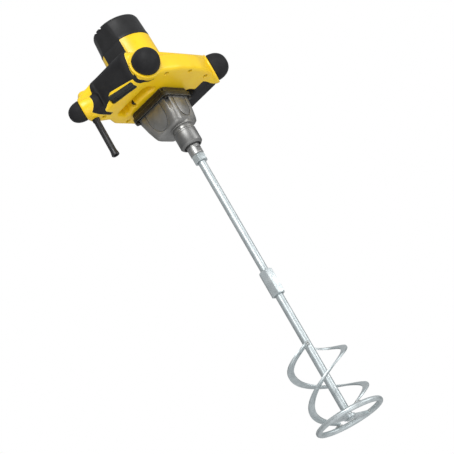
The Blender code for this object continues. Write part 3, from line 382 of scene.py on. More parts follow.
def trigger_plastic():
    """Dark green-grey trigger moulding."""
    made = Recipe("trigger_moulding", specular=0.45)
    colour = made.ramp(made.noise(120.0, 4.0), [(0.3, (0.014, 0.017, 0.015)), (0.7, (0.026, 0.031, 0.027))])
    made.bump([(made.cells(1700.0), 0.25, 0.0001)])
    return made.finish(colour, made.span(made.noise(200.0, 3.0), 0.3, 0.7, 0.38, 0.52))


def plain_inner(name, dark, light, metallic, roughness, scale=180.0):
    """Finish of an inner piece: two close tones, grain and uneven roughness."""
    made = Recipe(name, metallic=metallic)
    colour = made.ramp(made.noise(scale, 4.0), [(0.3, dark), (0.7, light)])
    made.bump([(made.noise(1200.0, 3.0), 0.25, 0.0001)])
    rough = made.span(made.noise(150.0, 3.0), 0.3, 0.7, roughness - 0.06, roughness + 0.08)
    return made.finish(colour, rough)


def wound_copper():
    """Enamelled winding with its wires running around the motor axis."""
    made = Recipe("wound_copper", metallic=0.9)
    wires = made.node("ShaderNodeTexWave", wave_type="BANDS", bands_direction="Z")
    wires.inputs["Scale"].default_value = 420.0
    wires.inputs["Distortion"].default_value = 0.6
    made.link(made.place, wires.inputs["Vector"])
    colour = made.ramp(wires.outputs["Fac"], [(0.1, (0.3, 0.09, 0.03)), (0.8, (0.74, 0.33, 0.14))])
    made.bump([(wires.outputs["Fac"], 0.6, 0.0004)])
    return made.finish(colour, made.span(made.noise(200.0, 3.0), 0.3, 0.7, 0.26, 0.4))


def laminations():
    """Stack of thin steel sheets."""
    made = Recipe("laminations", metallic=0.9)
    sheets = made.node("ShaderNodeTexWave", wave_type="BANDS", bands_direction="Z")
    sheets.inputs["Scale"].default_value = 300.0
    made.link(made.place, sheets.inputs["Vector"])
    colour = made.ramp(sheets.outputs["Fac"], [(0.1, (0.1, 0.1, 0.1)), (0.8, (0.3, 0.3, 0.31))])
    made.bump([(sheets.outputs["Fac"], 0.5, 0.0003)])
    return made.finish(colour, made.span(made.noise(300.0, 3.0), 0.3, 0.7, 0.38, 0.55))


YELLOW = yellow_plastic()
BLACK = black_plastic()
RUBBER = black_rubber()
CASTING = cast_aluminium()
FLANGE_METAL = dark_casting()
STEEL = turned_steel("turned_steel", 0.8)
COLLAR_STEEL = turned_steel("collar_steel", 0.55)
ZINC = zinc_plating()
WELD = weld_metal()
SCREW_METAL = black_screw()
SLEEVE_RUBBER = cable_rubber()
TRIGGER_PLASTIC = trigger_plastic()
COPPER = wound_copper()
LAMINATION = laminations()
BOARD = plain_inner("circuit_board", (0.012, 0.09, 0.03), (0.025, 0.16, 0.06), 0.0, 0.35)
CARBON = plain_inner("pressed_carbon", (0.015, 0.015, 0.015), (0.045, 0.045, 0.045), 0.1, 0.6)


# ---------------------------------------------------------------- mesh helpers
SCRATCH = []                      # cutters and forms that are only used while building


def piece(name, mesh, *mats):
    """A linked object with its materials."""
    obj = bpy.data.objects.new(name, mesh)
    bpy.context.scene.collection.objects.link(obj)
    mesh.materials.clear()
    for mat in mats:
        mesh.materials.append(mat)
    return obj


def scratch(mesh):
    """A helper object that is removed at the end."""
    obj = piece("helper", mesh)
    SCRATCH.append(obj)
    return obj


def mesh_from(bm):
    """Close a bmesh into a mesh with outward faces."""
    bmesh.ops.recalc_face_normals(bm, faces=bm.faces)
    if bm.calc_volume(signed=True) < 0:
        bmesh.ops.reverse_faces(bm, faces=bm.faces)
    mesh = bpy.data.meshes.new("shape")
    bm.to_mesh(mesh)
    bm.free()
    return mesh


def soften(obj, angle):
    """Smooth shading that keeps creases sharper than an angle in degrees."""
    obj.data.shade_smooth()
    obj.data.set_sharp_from_angle(angle=math.radians(angle))


def bake(obj):
    """Apply every modifier of an object to its mesh."""
    bpy.context.view_layer.update()
    evaluated = obj.evaluated_get(bpy.context.evaluated_depsgraph_get())
    mesh = bpy.data.meshes.new_from_object(evaluated)
    obj.modifiers.clear()
    obj.data = mesh
    return obj


def boolean(obj, other, operation="DIFFERENCE"):
    """Stack one Boolean on an object."""
    step = obj.modifiers.new(operation, "BOOLEAN")
    step.operation = operation
    step.object = other
    step.solver = "MANIFOLD"
    return obj


def cut(obj, mesh, operation="DIFFERENCE"):
    """Stack one Boolean with a helper mesh."""
    return boolean(obj, scratch(mesh), operation)


def settle(obj, mat, body, node, angle):
    """Bake a piece, give it one material and smooth shading, and fasten it to its body and CAD node."""
    bake(obj)
    obj.data.materials.clear()
    obj.data.materials.append(mat)
    soften(obj, angle)
    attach(obj, body)
    if node:
        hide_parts(node)


def rounded_edges(obj, width, segments=2, angle=30.0):
    """Bevel the edges sharper than an angle in degrees."""
    bevel = obj.modifiers.new("rounded", "BEVEL")
    bevel.width = width
    bevel.segments = segments
    bevel.limit_method = "ANGLE"
    bevel.angle_limit = math.radians(angle)
    bevel.use_clamp_overlap = True
    return obj


def block(low_corner, high_corner, edge=0.0, segments=3):
    """Block between two corners, with rounded edges."""
    bm = bmesh.new()
    bmesh.ops.create_cube(bm, size=1.0)
    bmesh.ops.scale(bm, vec=[b - a for a, b in zip(low_corner, high_corner)], verts=bm.verts)
    bmesh.ops.translate(bm, vec=[(a + b) / 2 for a, b in zip(low_corner, high_corner)], verts=bm.verts)
    if edge > 0:
        bmesh.ops.bevel(bm, geom=bm.edges, offset=edge, segments=segments, profile=0.5, affect="EDGES")
    return mesh_from(bm)


def side_block(side, x_pair, low_yz, high_yz, edge=0.0, segments=3):
    """Block on one side of the middle plane, between two distances from it."""
    x_low, x_high = sorted((side * x_pair[0], side * x_pair[1]))
    return block((x_low, *low_yz), (x_high, *high_yz), edge, segments)


def lathe(profile, steps=96, at=(0.0, 0.0)):
    """Profile of (radius, z) points spun about an upright axis; off the axis it closes itself."""
    bm = bmesh.new()
    closed = profile[0][0] > 0
    verts = [bm.verts.new((r, 0.0, z)) for r, z in profile]
    pairs = list(zip(verts, verts[1:])) + ([(verts[-1], verts[0])] if closed else [])
    edges = [bm.edges.new(pair) for pair in pairs]
    bmesh.ops.spin(bm, geom=verts + edges, axis=(0, 0, 1), cent=(0, 0, 0), angle=2 * math.pi, steps=steps,
                   use_merge=True, use_duplicate=False)
    bmesh.ops.remove_doubles(bm, verts=bm.verts, dist=0.000002)
    bmesh.ops.translate(bm, vec=(at[0], at[1], 0), verts=bm.verts)
    return mesh_from(bm)


def prism(outline, z_low, z_high):
    """Closed plan outline raised between two heights."""
    bm = bmesh.new()
    face = bm.faces.new([bm.verts.new((x, y, z_low)) for x, y in outline])
    raised = bmesh.ops.extrude_face_region(bm, geom=[face])
    top = [v for v in raised["geom"] if isinstance(v, bmesh.types.BMVert)]
    bmesh.ops.translate(bm, vec=(0, 0, z_high - z_low), verts=top)
    return mesh_from(bm)


def side_prism(outline, x_low, x_high):
    """Closed (y, z) outline stretched between two X positions."""
    mesh = prism(outline, x_low, x_high)
    mesh.transform(Matrix(((0, 0, 1, 0), (1, 0, 0, 0), (0, 1, 0, 0), (0, 0, 0, 1))))
    return mesh


def arc_corners(corners, arc_steps=6):
    """Round each (x, y, radius) corner of a closed outline with an arc."""
    points = []
    count = len(corners)
    for i, (x, y, radius) in enumerate(corners):
        here = Vector((x, y))
        before = Vector(corners[i - 1][:2]) - here
        after = Vector(corners[(i + 1) % count][:2]) - here
        half = before.angle(after) / 2
        if radius <= 0 or abs(half - math.pi / 2) < 0.01:
            points.append((x, y))
            continue
        reach = min(radius / math.tan(half), 0.48 * before.length, 0.48 * after.length)
        radius = reach * math.tan(half)
        centre = here + (before.normalized() + after.normalized()).normalized() * (radius / math.sin(half))
        start = here + before.normalized() * reach - centre
        sweep = (here + after.normalized() * reach - centre).angle_signed(start)
        for k in range(arc_steps + 1):
            turn = sweep * k / arc_steps
            points.append((centre.x + start.x * math.cos(turn) - start.y * math.sin(turn),
                           centre.y + start.x * math.sin(turn) + start.y * math.cos(turn)))
    return points


def filled_curve(outlines, z_low, z_high, edge):
    """Flat outlines with rounded edges, raised between two heights."""
    curve = bpy.data.curves.new("outline", "CURVE")
    curve.dimensions = "2D"
    curve.fill_mode = "BOTH"
    curve.extrude = (z_high - z_low) / 2 - edge
    curve.bevel_depth = edge
    curve.bevel_resolution = 3
    curve.offset = -edge
    for points in outlines:
        spline = curve.splines.new("POLY")
        spline.points.add(len(points) - 1)
        for point, (x, y) in zip(spline.points, points):
            point.co = (x, y, 0.0, 1.0)
        spline.use_cyclic_u = True
    source = bpy.data.objects.new("outline", curve)
    bpy.context.scene.collection.objects.link(source)
    bpy.context.view_layer.update()
    mesh = bpy.data.meshes.new_from_object(source.evaluated_get(bpy.context.evaluated_depsgraph_get()))
    bpy.data.objects.remove(source, do_unlink=True)
    mesh.transform(Matrix.Translation((0, 0, (z_low + z_high) / 2)))
    bm = bmesh.new()
    bm.from_mesh(mesh)
    bmesh.ops.remove_doubles(bm, verts=bm.verts, dist=0.00005)
    return mesh_from(bm)


def aimed(mesh, origin, axis):
    """Turn a mesh built along +Z so that +Z points along axis from origin."""
    mesh.transform(Matrix.Translation(origin) @ axis.to_track_quat("Z", "Y").to_matrix().to_4x4())
    return mesh


# ---------------------------------------------------------------- moulded body
def bumper_place(sign_x, spot, sign_y):
    """Base centre and outward direction of a bumper."""
    axis = Vector((sign_x * math.cos(BUMPER_SPLAY), sign_y * math.sin(BUMPER_SPLAY), 0.0))
    return Vector((sign_x * spot[0], spot[1], BUMPER_Z)), axis


def stub_mesh(sign_x, spot, sign_y, radius):
    """Arm end that swells towards its bumper."""
    place, axis = bumper_place(sign_x, spot, sign_y)
    rim = radius + BUMPER_RIM
    length = 0.034 if sign_y < 0 else 0.03
    profile = [(0.0, 0.0), (rim, 0.0), (rim, -0.004)]
    profile += [(rim * (1 - 0.4 * f ** 1.6), -0.004 - length * f) for f in (0.25, 0.5, 0.75, 1.0)]
    profile.append((0.0, -0.004 - length))
    return aimed(lathe(profile, 48), place, axis)


def rear_arm_mesh(side):
    """Straight-sided swelling from the rear end of a handle to the rim of its rear bumper."""
    place, axis = bumper_place(side, REAR_BUMPER, 1)
    turned = axis.to_track_quat("Z", "Y").to_matrix()
    rim = REAR_BUMPER_R + BUMPER_RIM
    bm = bmesh.new()
    for k in range(32):
        angle = 2 * math.pi * k / 32
        ring = Vector((rim * math.cos(angle), rim * math.sin(angle), 0.0))
        for back in (0.0, -0.004):
            bm.verts.new(place + turned @ (ring + Vector((0.0, 0.0, back))))
    cut = 0.011
    ends_x = (HANDLE_INNER_X, HANDLE_OUTER_X)
    ends_z = (HANDLE_BOTTOM_Z + 0.001, HANDLE_TOP_Z)
    for x, dx in ((ends_x[0], cut), (ends_x[1], -cut)):
        for z, dz in ((ends_z[0], cut), (ends_z[1], -cut)):
            bm.verts.new((side * (x + dx), 0.04, z))
            bm.verts.new((side * x, 0.04, z + dz))
            bm.verts.new((side * (x + 0.3 * dx), 0.04, z + 0.3 * dz))
    hull = bmesh.ops.convex_hull(bm, input=bm.verts)
    bmesh.ops.delete(bm, geom=list({v for v in hull["geom_interior"] if isinstance(v, bmesh.types.BMVert)}),
            context="VERTS")
    return mesh_from(bm)


def body_form(voxel, swell):
    """Smooth closed form of the moulded body; swell grows or shrinks it all round."""
    mirrored = [(-x, y, r) for x, y, r in reversed(BODY_HALF) if x < 0]
    right_gap = [(-x, y, r) for x, y, r in reversed(FINGER_GAP)]
    outlines = [arc_corners(BODY_HALF + mirrored), arc_corners(FINGER_GAP), arc_corners(right_gap)]
    form = scratch(filled_curve(outlines, UNDERSIDE_Z, FRAME_TOP_Z, FRAME_EDGE_R))
    for side in (-1, 1):
        cut(form, side_block(side, (HANDLE_INNER_X, HANDLE_OUTER_X), (HANDLE_Y[0], HANDLE_BOTTOM_Z),
                (HANDLE_Y[1], HANDLE_TOP_Z), HANDLE_EDGE_R, 6), "UNION")
    for label, sign_x, spot, sign_y, radius in BUMPERS:
        cut(form, stub_mesh(sign_x, spot, sign_y, radius), "UNION")
    for side in (-1, 1):
        cut(form, rear_arm_mesh(side), "UNION")
    shoulder = scratch(lathe([(0.0, SHOULDER_TOP_Z), (SHROUD_BOTTOM_R - 0.001, SHOULDER_TOP_Z),
            (SHOULDER_R, FRAME_TOP_Z - 0.003), (0.0, FRAME_TOP_Z - 0.003)], 72, (0, MOTOR_Y)))
    for gap in (FINGER_GAP, right_gap):
        cut(shoulder, prism(arc_corners(gap), 0.6, 0.8))
    boolean(form, shoulder, "UNION")
    slope = [(y, SLOPE_Z + SLOPE * (y - FRONT_Y)) for y in (-0.12, -0.02)] + [(-0.02, 0.8), (-0.12, 0.8)]
    cut(form, side_prism(slope, -0.2, 0.2))
    remesh = form.modifiers.new("remesh", "REMESH")
    remesh.mode = "VOXEL"
    remesh.voxel_size = voxel
    smooth = form.modifiers.new("smooth", "SMOOTH")
    smooth.factor = 0.5
    smooth.iterations = round(0.013 / voxel)
    offset = form.modifiers.new("offset", "DISPLACE")
    offset.mid_level = 0.0
    offset.strength = swell
    bake(form)
    form.data.shade_smooth()
    return form


def copy_of(form, swell):
    """The same closed form grown or shrunk along its normals."""
    obj = scratch(form.data.copy())
    offset = obj.modifiers.new("offset", "DISPLACE")
    offset.mid_level = 0.0
    offset.strength = swell
    return bake(obj)


# where rubber covers a handle, as (y, z) outlines seen from its side
LEFT_GRIP_OUTER = [(-0.04, 0.72, 0), (-0.04, 0.688, 0.02), (-0.037, 0.66, 0.02),
        (-0.0375, 0.644, 0.002), (-0.03, 0.6455, 0), (0.017, 0.6565, 0.003), (0.0235, 0.654, 0.004),
        (0.0275, 0.647, 0.003), (0.036, 0.645, 0.004), (0.044, 0.64, 0.01), (0.0515, 0.63, 0.001),
        (0.055, 0.645, 0.006), (0.055, 0.66, 0.004), (0.0445, 0.6635, 0.003), (0.043, 0.72, 0)]
LEFT_GRIP_INNER = [(-0.04, 0.72, 0), (-0.039, 0.652, 0.006), (0.045, 0.652, 0.006),
        (0.043, 0.72, 0)]
RIGHT_GRIP = [(-0.04, 0.72, 0), (-0.04, 0.69, 0.02), (-0.046, 0.662, 0.02), (-0.047, 0.62, 0),
              (0.053, 0.62, 0), (0.055, 0.66, 0.004), (0.0445, 0.6635, 0.003), (0.043, 0.72, 0)]
LEFT_UNDER_WEDGE = [(-0.116, -0.044, 0), (-0.105, -0.04, 0.002), (-0.065, -0.047, 0.001),
                    (-0.0926, -0.0324, 0.003), (-0.116, -0.032, 0)]


def grip_region(side):
    """Solid that holds everything the rubber of one handle covers."""
    middle_x = side * (HANDLE_INNER_X + HANDLE_OUTER_X) / 2
    outer_x = side * 0.13
    inner_x = side * 0.06
    if side > 0:
        return scratch(side_prism(arc_corners(RIGHT_GRIP, 5), inner_x, outer_x))
    region = scratch(side_prism(arc_corners(LEFT_GRIP_OUTER, 5), outer_x, middle_x))
    inner = scratch(side_prism(arc_corners(LEFT_GRIP_INNER, 5), middle_x - 0.001, inner_x))
    wedge = scratch(prism(arc_corners(LEFT_UNDER_WEDGE, 4), 0.62, 0.65))
    boolean(region, inner, "UNION")
    boolean(region, wedge, "UNION")
    return bake(region)


def trigger_frame():
    """Place and turn of the trigger: its outward face looks down and out of the left handle."""
    turn = Matrix.Rotation(-math.pi / 4, 4, "Y") @ Matrix.Rotation(TRIGGER_TILT, 4, "X")
    return Matrix.Translation(middle("trigger")) @ turn


def shroud_mesh():
    """Tapered yellow motor shroud with flat sides."""
    shroud = scratch(lathe([(0.0, SHROUD_TOP_Z), (SHROUD_TOP_R - 0.0006, SHROUD_TOP_Z),
            (SHROUD_TOP_R, SHROUD_TOP_Z - 0.0006), (SHROUD_BOTTOM_R, UNDERSIDE_Z + 0.03),
            (0.0, UNDERSIDE_Z + 0.03)], 128, (0, MOTOR_Y)))
    for side in (-1, 1):
        cut(shroud, side_block(side, (SIDE_FLAT_X, OUT_X), (-0.05, SHOULDER_TOP_Z - 0.004), (0.09, ABOVE_Z)))
        cut(shroud, side_block(side, (SIDE_FLAT_X - PANEL_BED, OUT_X), (MOTOR_Y - PANEL_HALF - GAP,
                PANEL_LOW_Z - GAP), (MOTOR_Y + PANEL_HALF + GAP, ABOVE_Z)))
    return bake(shroud)


def make_shells():
    """Upper and lower shells and both grips, cut from one smooth body form."""
    form = body_form(0.0016, 0.0)
    core = body_form(0.004, -SHELL_WALL)
    under_rubber = copy_of(form, -GRIP_DEPTH)
    rubber_skin = copy_of(form, 0.0002)
    motor_bore = scratch(lathe([(0.0, 0.86), (MOTOR_BORE_R, 0.86), (MOTOR_BORE_R, UNDERSIDE_Z + 0.004),
            (0.0, UNDERSIDE_Z + 0.004)], 64, (0, MOTOR_Y)))
    pocket = block((-0.02, -TRIGGER_HALF_Y - 0.0006, -TRIGGER_HALF_Z - 0.0006),
            (0.016, TRIGGER_HALF_Y + 0.0006, TRIGGER_HALF_Z + 0.0006), 0.0025, 3)
    pocket.transform(trigger_frame())
    pocket = scratch(pocket)
    regions = {side: grip_region(side) for side in (-1, 1)}
    beds = []
    for side, label in ((-1, "left"), (1, "right")):
        bed = scratch(regions[side].data.copy())
        boolean(bed, under_rubber)
        beds.append(bake(bed))
        rubber = piece(f"grip_rubber_{label}", rubber_skin.data.copy(), RUBBER)
        boolean(rubber, copy_of(regions[side], -GAP), "INTERSECT")
        boolean(rubber, under_rubber)
        if side < 0:
            boolean(rubber, pocket)
        settle(rubber, RUBBER, "head", f"grip_{label}", 40)
    shroud = shroud_mesh()
    for name, z_low, z_high in (("lower_shell", 0.5, SEAM_Z - 0.00035),
            ("upper_shell", SEAM_Z + 0.00035, 0.9)):
        shell = piece(name, form.data.copy(), YELLOW)
        for label, sign_x, spot, sign_y, radius in BUMPERS:
            cut(shell, rim_mesh(sign_x, spot, sign_y, radius), "UNION")
        if name == "upper_shell":
            boolean(shell, shroud, "UNION")
        cut(shell, block((-0.3, -0.3, z_low), (0.3, 0.3, z_high)), "INTERSECT")
        boolean(shell, core)
        boolean(shell, motor_bore)
        for bed in beds:
            boolean(shell, bed)
        boolean(shell, pocket)
        if name == "lower_shell":
            cut_lower_shell(shell)
        settle(shell, YELLOW, "head", name.replace("shell", "housing"), 38)


def rim_mesh(sign_x, spot, sign_y, radius):
    """Crisp yellow rim around a bumper's base."""
    place, axis = bumper_place(sign_x, spot, sign_y)
    rim = radius + (FRONT_RIM if sign_y < 0 else REAR_RIM)
    profile = [(0.0, 0.0), (rim - 0.0012, 0.0), (rim - 0.0004, -0.0003), (rim, -0.0012),
            (rim - 0.0002, -0.006), (rim - 0.0035, -0.012), (0.0, -0.012)]
    return aimed(lathe(profile, 96), place, axis)


def cut_lower_shell(shell):
    """Screw wells, gearbox opening and cord socket."""
    cut(shell, lathe([(0.0, 0.66), (0.025, 0.66), (0.025, 0.6), (0.0, 0.6)], 64, (0, MOTOR_Y)))
    spots = [(side * x, y) for x, y in SCREW_WELLS for side in (-1, 1)] + [FRONT_WELL]
    for spot in spots:
        profile = [(0.0, UNDERSIDE_Z + 0.012), (0.0038, UNDERSIDE_Z + 0.012), (0.004, UNDERSIDE_Z + 0.0016),
                   (0.0054, UNDERSIDE_Z - 0.0006), (0.0054, UNDERSIDE_Z - 0.02), (0.0, UNDERSIDE_Z - 0.02)]
        cut(shell, lathe(profile, 32, spot))
    sleeve = middle("cord_sleeve")
    cut(shell, lathe([(0.0, UNDERSIDE_Z + 0.01), (0.0068, UNDERSIDE_Z + 0.01), (0.0068, 0.6), (0.0, 0.6)],
            48, (sleeve.x, sleeve.y)))


def make_bumpers():
    """Four rubber domes, each with a thin foot and a soft crown."""
    for label, sign_x, spot, sign_y, radius in BUMPERS:
        place, axis = bumper_place(sign_x, spot, sign_y)
        steps = 16
        length = FRONT_BUMPER_LENGTH if sign_y < 0 else BUMPER_LENGTH
        profile = [(0.0, length + GAP)]
        for k in range(1, steps):
            angle = math.pi / 2 * (1 - k / steps)
            profile.append((radius * math.cos(angle) ** 0.86, GAP + length * math.sin(angle) ** 0.92))
        profile += [(radius, GAP + 0.0012), (radius - 0.0005, GAP + 0.0003), (radius - 0.0011, GAP),
                (0.0, GAP)]
        dome = piece(f"bumper_dome_{label}", aimed(lathe(profile, 72), place, axis), RUBBER)
        settle(dome, RUBBER, "head", f"bumper_{label}", 50)


def make_trigger():
    """Trigger with a raised upper strip and a finger groove below it."""
    depth_in = 0.0046
    # section in the trigger's own frame: x is inwards, z runs across the trigger
    section = [(depth_in, -TRIGGER_HALF_Z), (-0.001, -TRIGGER_HALF_Z), (-0.0016, -0.0056), (0.0012, -0.0042),
            (0.0016, -0.0004), (-0.0016, 0.001), (-0.0022, 0.0022), (-0.002, 0.0058),
            (-0.0006, TRIGGER_HALF_Z), (depth_in, TRIGGER_HALF_Z)]
    bm = bmesh.new()
    face = bm.faces.new([bm.verts.new((x, -TRIGGER_HALF_Y, z)) for x, z in section])
    raised = bmesh.ops.extrude_face_region(bm, geom=[face])
    moved = [v for v in raised["geom"] if isinstance(v, bmesh.types.BMVert)]
    bmesh.ops.translate(bm, vec=(0, 2 * TRIGGER_HALF_Y, 0), verts=moved)
    mesh = mesh_from(bm)
    mesh.transform(trigger_frame())
    obj = piece("trigger_face", mesh, TRIGGER_PLASTIC)
    rounded_edges(obj, 0.0009, 3)
    seat = block((0.0026, -0.0052, -0.006), (0.01, 0.0052, 0.006), 0.0008, 2)
    seat.transform(trigger_frame())
    cut(obj, seat)
    settle(obj, TRIGGER_PLASTIC, "trigger", "trigger", 50)


# ---------------------------------------------------------------- motor block
def make_cap():
    """End cap: tapered drum with flat sides, a foot bead, notched side vents and slots in its top."""
    at = (0.0, MOTOR_Y)
    foot = SHROUD_TOP_Z + GAP
    profile = [(0.0, CAP_TOP_Z), (0.034, CAP_TOP_Z), (0.0385, CAP_TOP_Z - 0.0005),
            (CAP_TOP_R - 0.0014, CAP_TOP_Z - 0.002), (CAP_TOP_R - 0.0002, CAP_TOP_Z - 0.0046),
            (CAP_TOP_R + 0.0002, CAP_TOP_Z - 0.008), (SHROUD_TOP_R - 0.0006, foot + 0.0065),
            (SHROUD_TOP_R, foot + 0.0055), (SHROUD_TOP_R, foot + 0.0006), (SHROUD_TOP_R - 0.0006, foot),
            (0.0, foot)]
    cap = piece("cap_shell", lathe(profile, 128, at), BLACK)
    hollow = scratch(lathe([(0.0, CAP_TOP_Z - 0.003), (CAP_TOP_R - 0.005, CAP_TOP_Z - 0.003),
            (SHROUD_TOP_R - CAP_WALL, foot - 0.001), (0.0, foot - 0.001)], 64, at))
    for side in (-1, 1):
        for target, inset in ((cap, 0.0), (hollow, CAP_WALL)):
            cut(target, side_block(side, (SIDE_FLAT_X - inset, OUT_X), (-0.05, 0.7), (0.09, ABOVE_Z)))
        for k in range(SIDE_VENTS):
            y = MOTOR_Y + 0.002 + k * 0.012
            cut(cap, side_block(side, (0.033, 0.045), (y - 0.003, CAP_TOP_Z - 0.006),
                    (y + 0.003, CAP_TOP_Z + 0.004), 0.0008, 2))
    boolean(cap, hollow)
    for k in range(TOP_SLOTS):
        y = MOTOR_Y + (k - (TOP_SLOTS - 1) / 2) * 0.008
        for side in (-1, 1):
            cut(cap, side_block(side, (0.012, 0.029), (y - 0.0016, CAP_TOP_Z - 0.012),
                    (y + 0.0016, CAP_TOP_Z + 0.002), 0.001, 2))
    settle(cap, BLACK, "head", "motor_cap", 32)


def make_panels():
    """Black panels on the motor's flat sides, each with a low step along its edge."""
    for side, label in ((-1, "left"), (1, "right")):
        node = f"side_panel_{label}"
        a, b = low(node), high(node)
        panel = piece(f"panel_face_{label}", block(a, b), BLACK)
        cut(panel, side_block(side, (SIDE_FLAT_X - 0.0003, SIDE_FLAT_X + 0.0007), (a.y + 0.003, a.z + 0.003),
                (b.y - 0.003, b.z - 0.0022), 0.0003, 2), "UNION")
        rounded_edges(panel, 0.0004, 2)
        settle(panel, BLACK, "head", node, 32)


# ---------------------------------------------------------------- gearbox
def loft(sections):
    """Skin over a stack of closed loops with equal counts: (outline, z)."""
    bm = bmesh.new()
    loops = [[bm.verts.new((x, y, z)) for x, y in outline] for outline, z in sections]
    for lower, upper in zip(loops, loops[1:]):
        for i in range(len(lower)):
            j = (i + 1) % len(lower)
            bm.faces.new((lower[i], lower[j], upper[j], upper[i]))
    bm.faces.new(loops[0])
    bm.faces.new(loops[-1])
    return mesh_from(bm)


def rounded_rectangle(half_x, low_y, high_y, radius, arc_steps=8):
    """Rounded rectangle outline in plan."""
    return arc_corners([(-half_x, low_y, radius), (half_x, low_y, radius), (half_x, high_y, radius),
                        (-half_x, high_y, radius)], arc_steps)


def panel_recess(width, centre, direction, depth_z, lean):
    """U-shaped solid that opens at the top of a case face and leans with it; two of them leave a groove."""
    radius = width / 2
    outline = [(radius, 0.07), (-radius, 0.07)]
    outline += [(radius * math.cos(a), depth_z + 1.35 * radius * math.sin(a))
                for a in [math.pi + math.pi * k / 24 for k in range(25)]]
    mesh = prism(outline, 0.0, 0.02)
    mesh.transform(Matrix.Rotation(math.pi / 2 + lean, 4, "X"))
    mesh.transform(Matrix.Translation((*centre, CASE_BOTTOM_Z + 0.01)) @ Matrix.Rotation(direction, 4, "Z"))
    return scratch(mesh)


def make_gear_case():
    """Die-cast case: tapered block with grooved U-shaped panels, screw pockets and a notched neck."""
    top_low, top_high = -0.025, 0.054
    # height above the case's bottom, half width, front and rear ends, corner radius
    stations = [(0.0, 0.0225, -0.015, 0.036, 0.012), (0.001, 0.0262, -0.0186, 0.0397, 0.0125),
            (0.0036, 0.0285, -0.0208, 0.0418, 0.0125), (0.008, 0.0296, -0.0218, 0.0435, 0.0125),
            (0.025, 0.0314, -0.0235, 0.0487, 0.0122),
            (CASE_TOP_Z - CASE_BOTTOM_Z, 0.033, top_low, top_high, 0.0115)]
    sections = [(rounded_rectangle(*row[1:]), CASE_BOTTOM_Z + row[0]) for row in stations]
    case = piece("case_casting", loft(sections), CASTING)
    neck = [(0.0, CASE_BOTTOM_Z + 0.004), (0.0215, CASE_BOTTOM_Z + 0.004), (0.0215, CASE_BOTTOM_Z - 0.001),
            (0.0208, CASE_BOTTOM_Z - 0.0018), (0.018, CASE_BOTTOM_Z - 0.0022),
            (0.018, CASE_BOTTOM_Z - 0.0034), (0.019, CASE_BOTTOM_Z - 0.0038),
            (0.019, NECK_BOTTOM_Z + 0.0004), (0.0186, NECK_BOTTOM_Z), (0.0, NECK_BOTTOM_Z)]
    cut(case, lathe(neck, 96), "UNION")
    middle_y = (top_low + top_high) / 2
    for width, centre, direction, depth_z, lean in ((0.033, (0.0, -0.0201), 0.0, 0.022, 0.079),
            (0.04, (-0.0279, middle_y - 0.002), -math.pi / 2, 0.021, 0.083),
            (0.04, (0.0279, middle_y - 0.002), math.pi / 2, 0.021, 0.083),
            (0.033, (0.0, 0.0422), math.pi, 0.022, 0.252)):
        groove = panel_recess(width, centre, direction, depth_z, lean)
        inward = Vector((0.0, 0.002)) @ Matrix.Rotation(-direction, 2)
        boolean(groove, panel_recess(width - 0.004, (centre[0] + inward.x, centre[1] + inward.y), direction,
                depth_z, lean))
        boolean(case, bake(groove))
    for k in (1, 2, 3, 4):
        spot = middle(f"flange_screw_{k}")
        pocket = [(0.0, 0.64), (0.0052, 0.64), (0.005, 0.601), (0.003, 0.59), (0.0, 0.586)]
        cut(case, lathe(pocket, 32, (spot.x, spot.y)))
    for turn in (200.0, 320.0, 80.0):
        cutter = block((0.0165, -0.0016, NECK_BOTTOM_Z - 0.001), (0.023, 0.0016, NECK_BOTTOM_Z + 0.0046))
        cutter.transform(Matrix.Rotation(math.radians(turn), 4, "Z"))
        cut(case, cutter)
    cut(case, lathe([(0.0, 0.6), (0.0113, 0.6), (0.0113, 0.55), (0.0, 0.55)], 64))
    cut(case, block((-0.0255, -0.0178, CASE_BOTTOM_Z + 0.0075), (0.0255, 0.0395, CASE_TOP_Z + 0.002), 0.008,
            4))
    rounded_edges(case, 0.0005, 2, 35.0)
    settle(case, CASTING, "head", "gear_housing", 40)


def make_flange():
    """Two-tier flange: a broad lower plate with a narrower upper one stepped in above it."""
    a, b = low("gearbox_flange"), high("gearbox_flange")
    tier = rounded_rectangle(-a.x, a.y, b.y, 0.0095)
    flange = piece("flange_casting", loft([(tier, FLANGE_LOW_Z), (tier, FLANGE_STEP_Z)]), FLANGE_METAL)
    inset = 0.0028
    tier = rounded_rectangle(-a.x - inset, a.y + inset, b.y - inset, 0.008)
    cut(flange, loft([(tier, FLANGE_STEP_Z - 0.001), (tier, b.z)]), "UNION")
    boss = [(0.0104, FLANGE_LOW_Z + 0.001), (0.0104, a.z), (0.0088, a.z), (0.0088, FLANGE_LOW_Z + 0.001)]
    cut(flange, lathe(boss, 48), "UNION")
    cut(flange, lathe([(0.0, 0.65), (0.0133, 0.65), (0.0133, 0.619), (0.0, 0.619)], 64, (0, MOTOR_Y)))
    for k in (1, 2, 3, 4):
        spot = middle(f"flange_screw_{k}")
        cut(flange, lathe([(0.0, 0.65), (0.0026, 0.65), (0.0026, 0.6), (0.0, 0.6)], 24, (spot.x, spot.y)))
    rounded_edges(flange, 0.0007, 3, 35.0)
    settle(flange, FLANGE_METAL, "head", "gearbox_flange", 40)


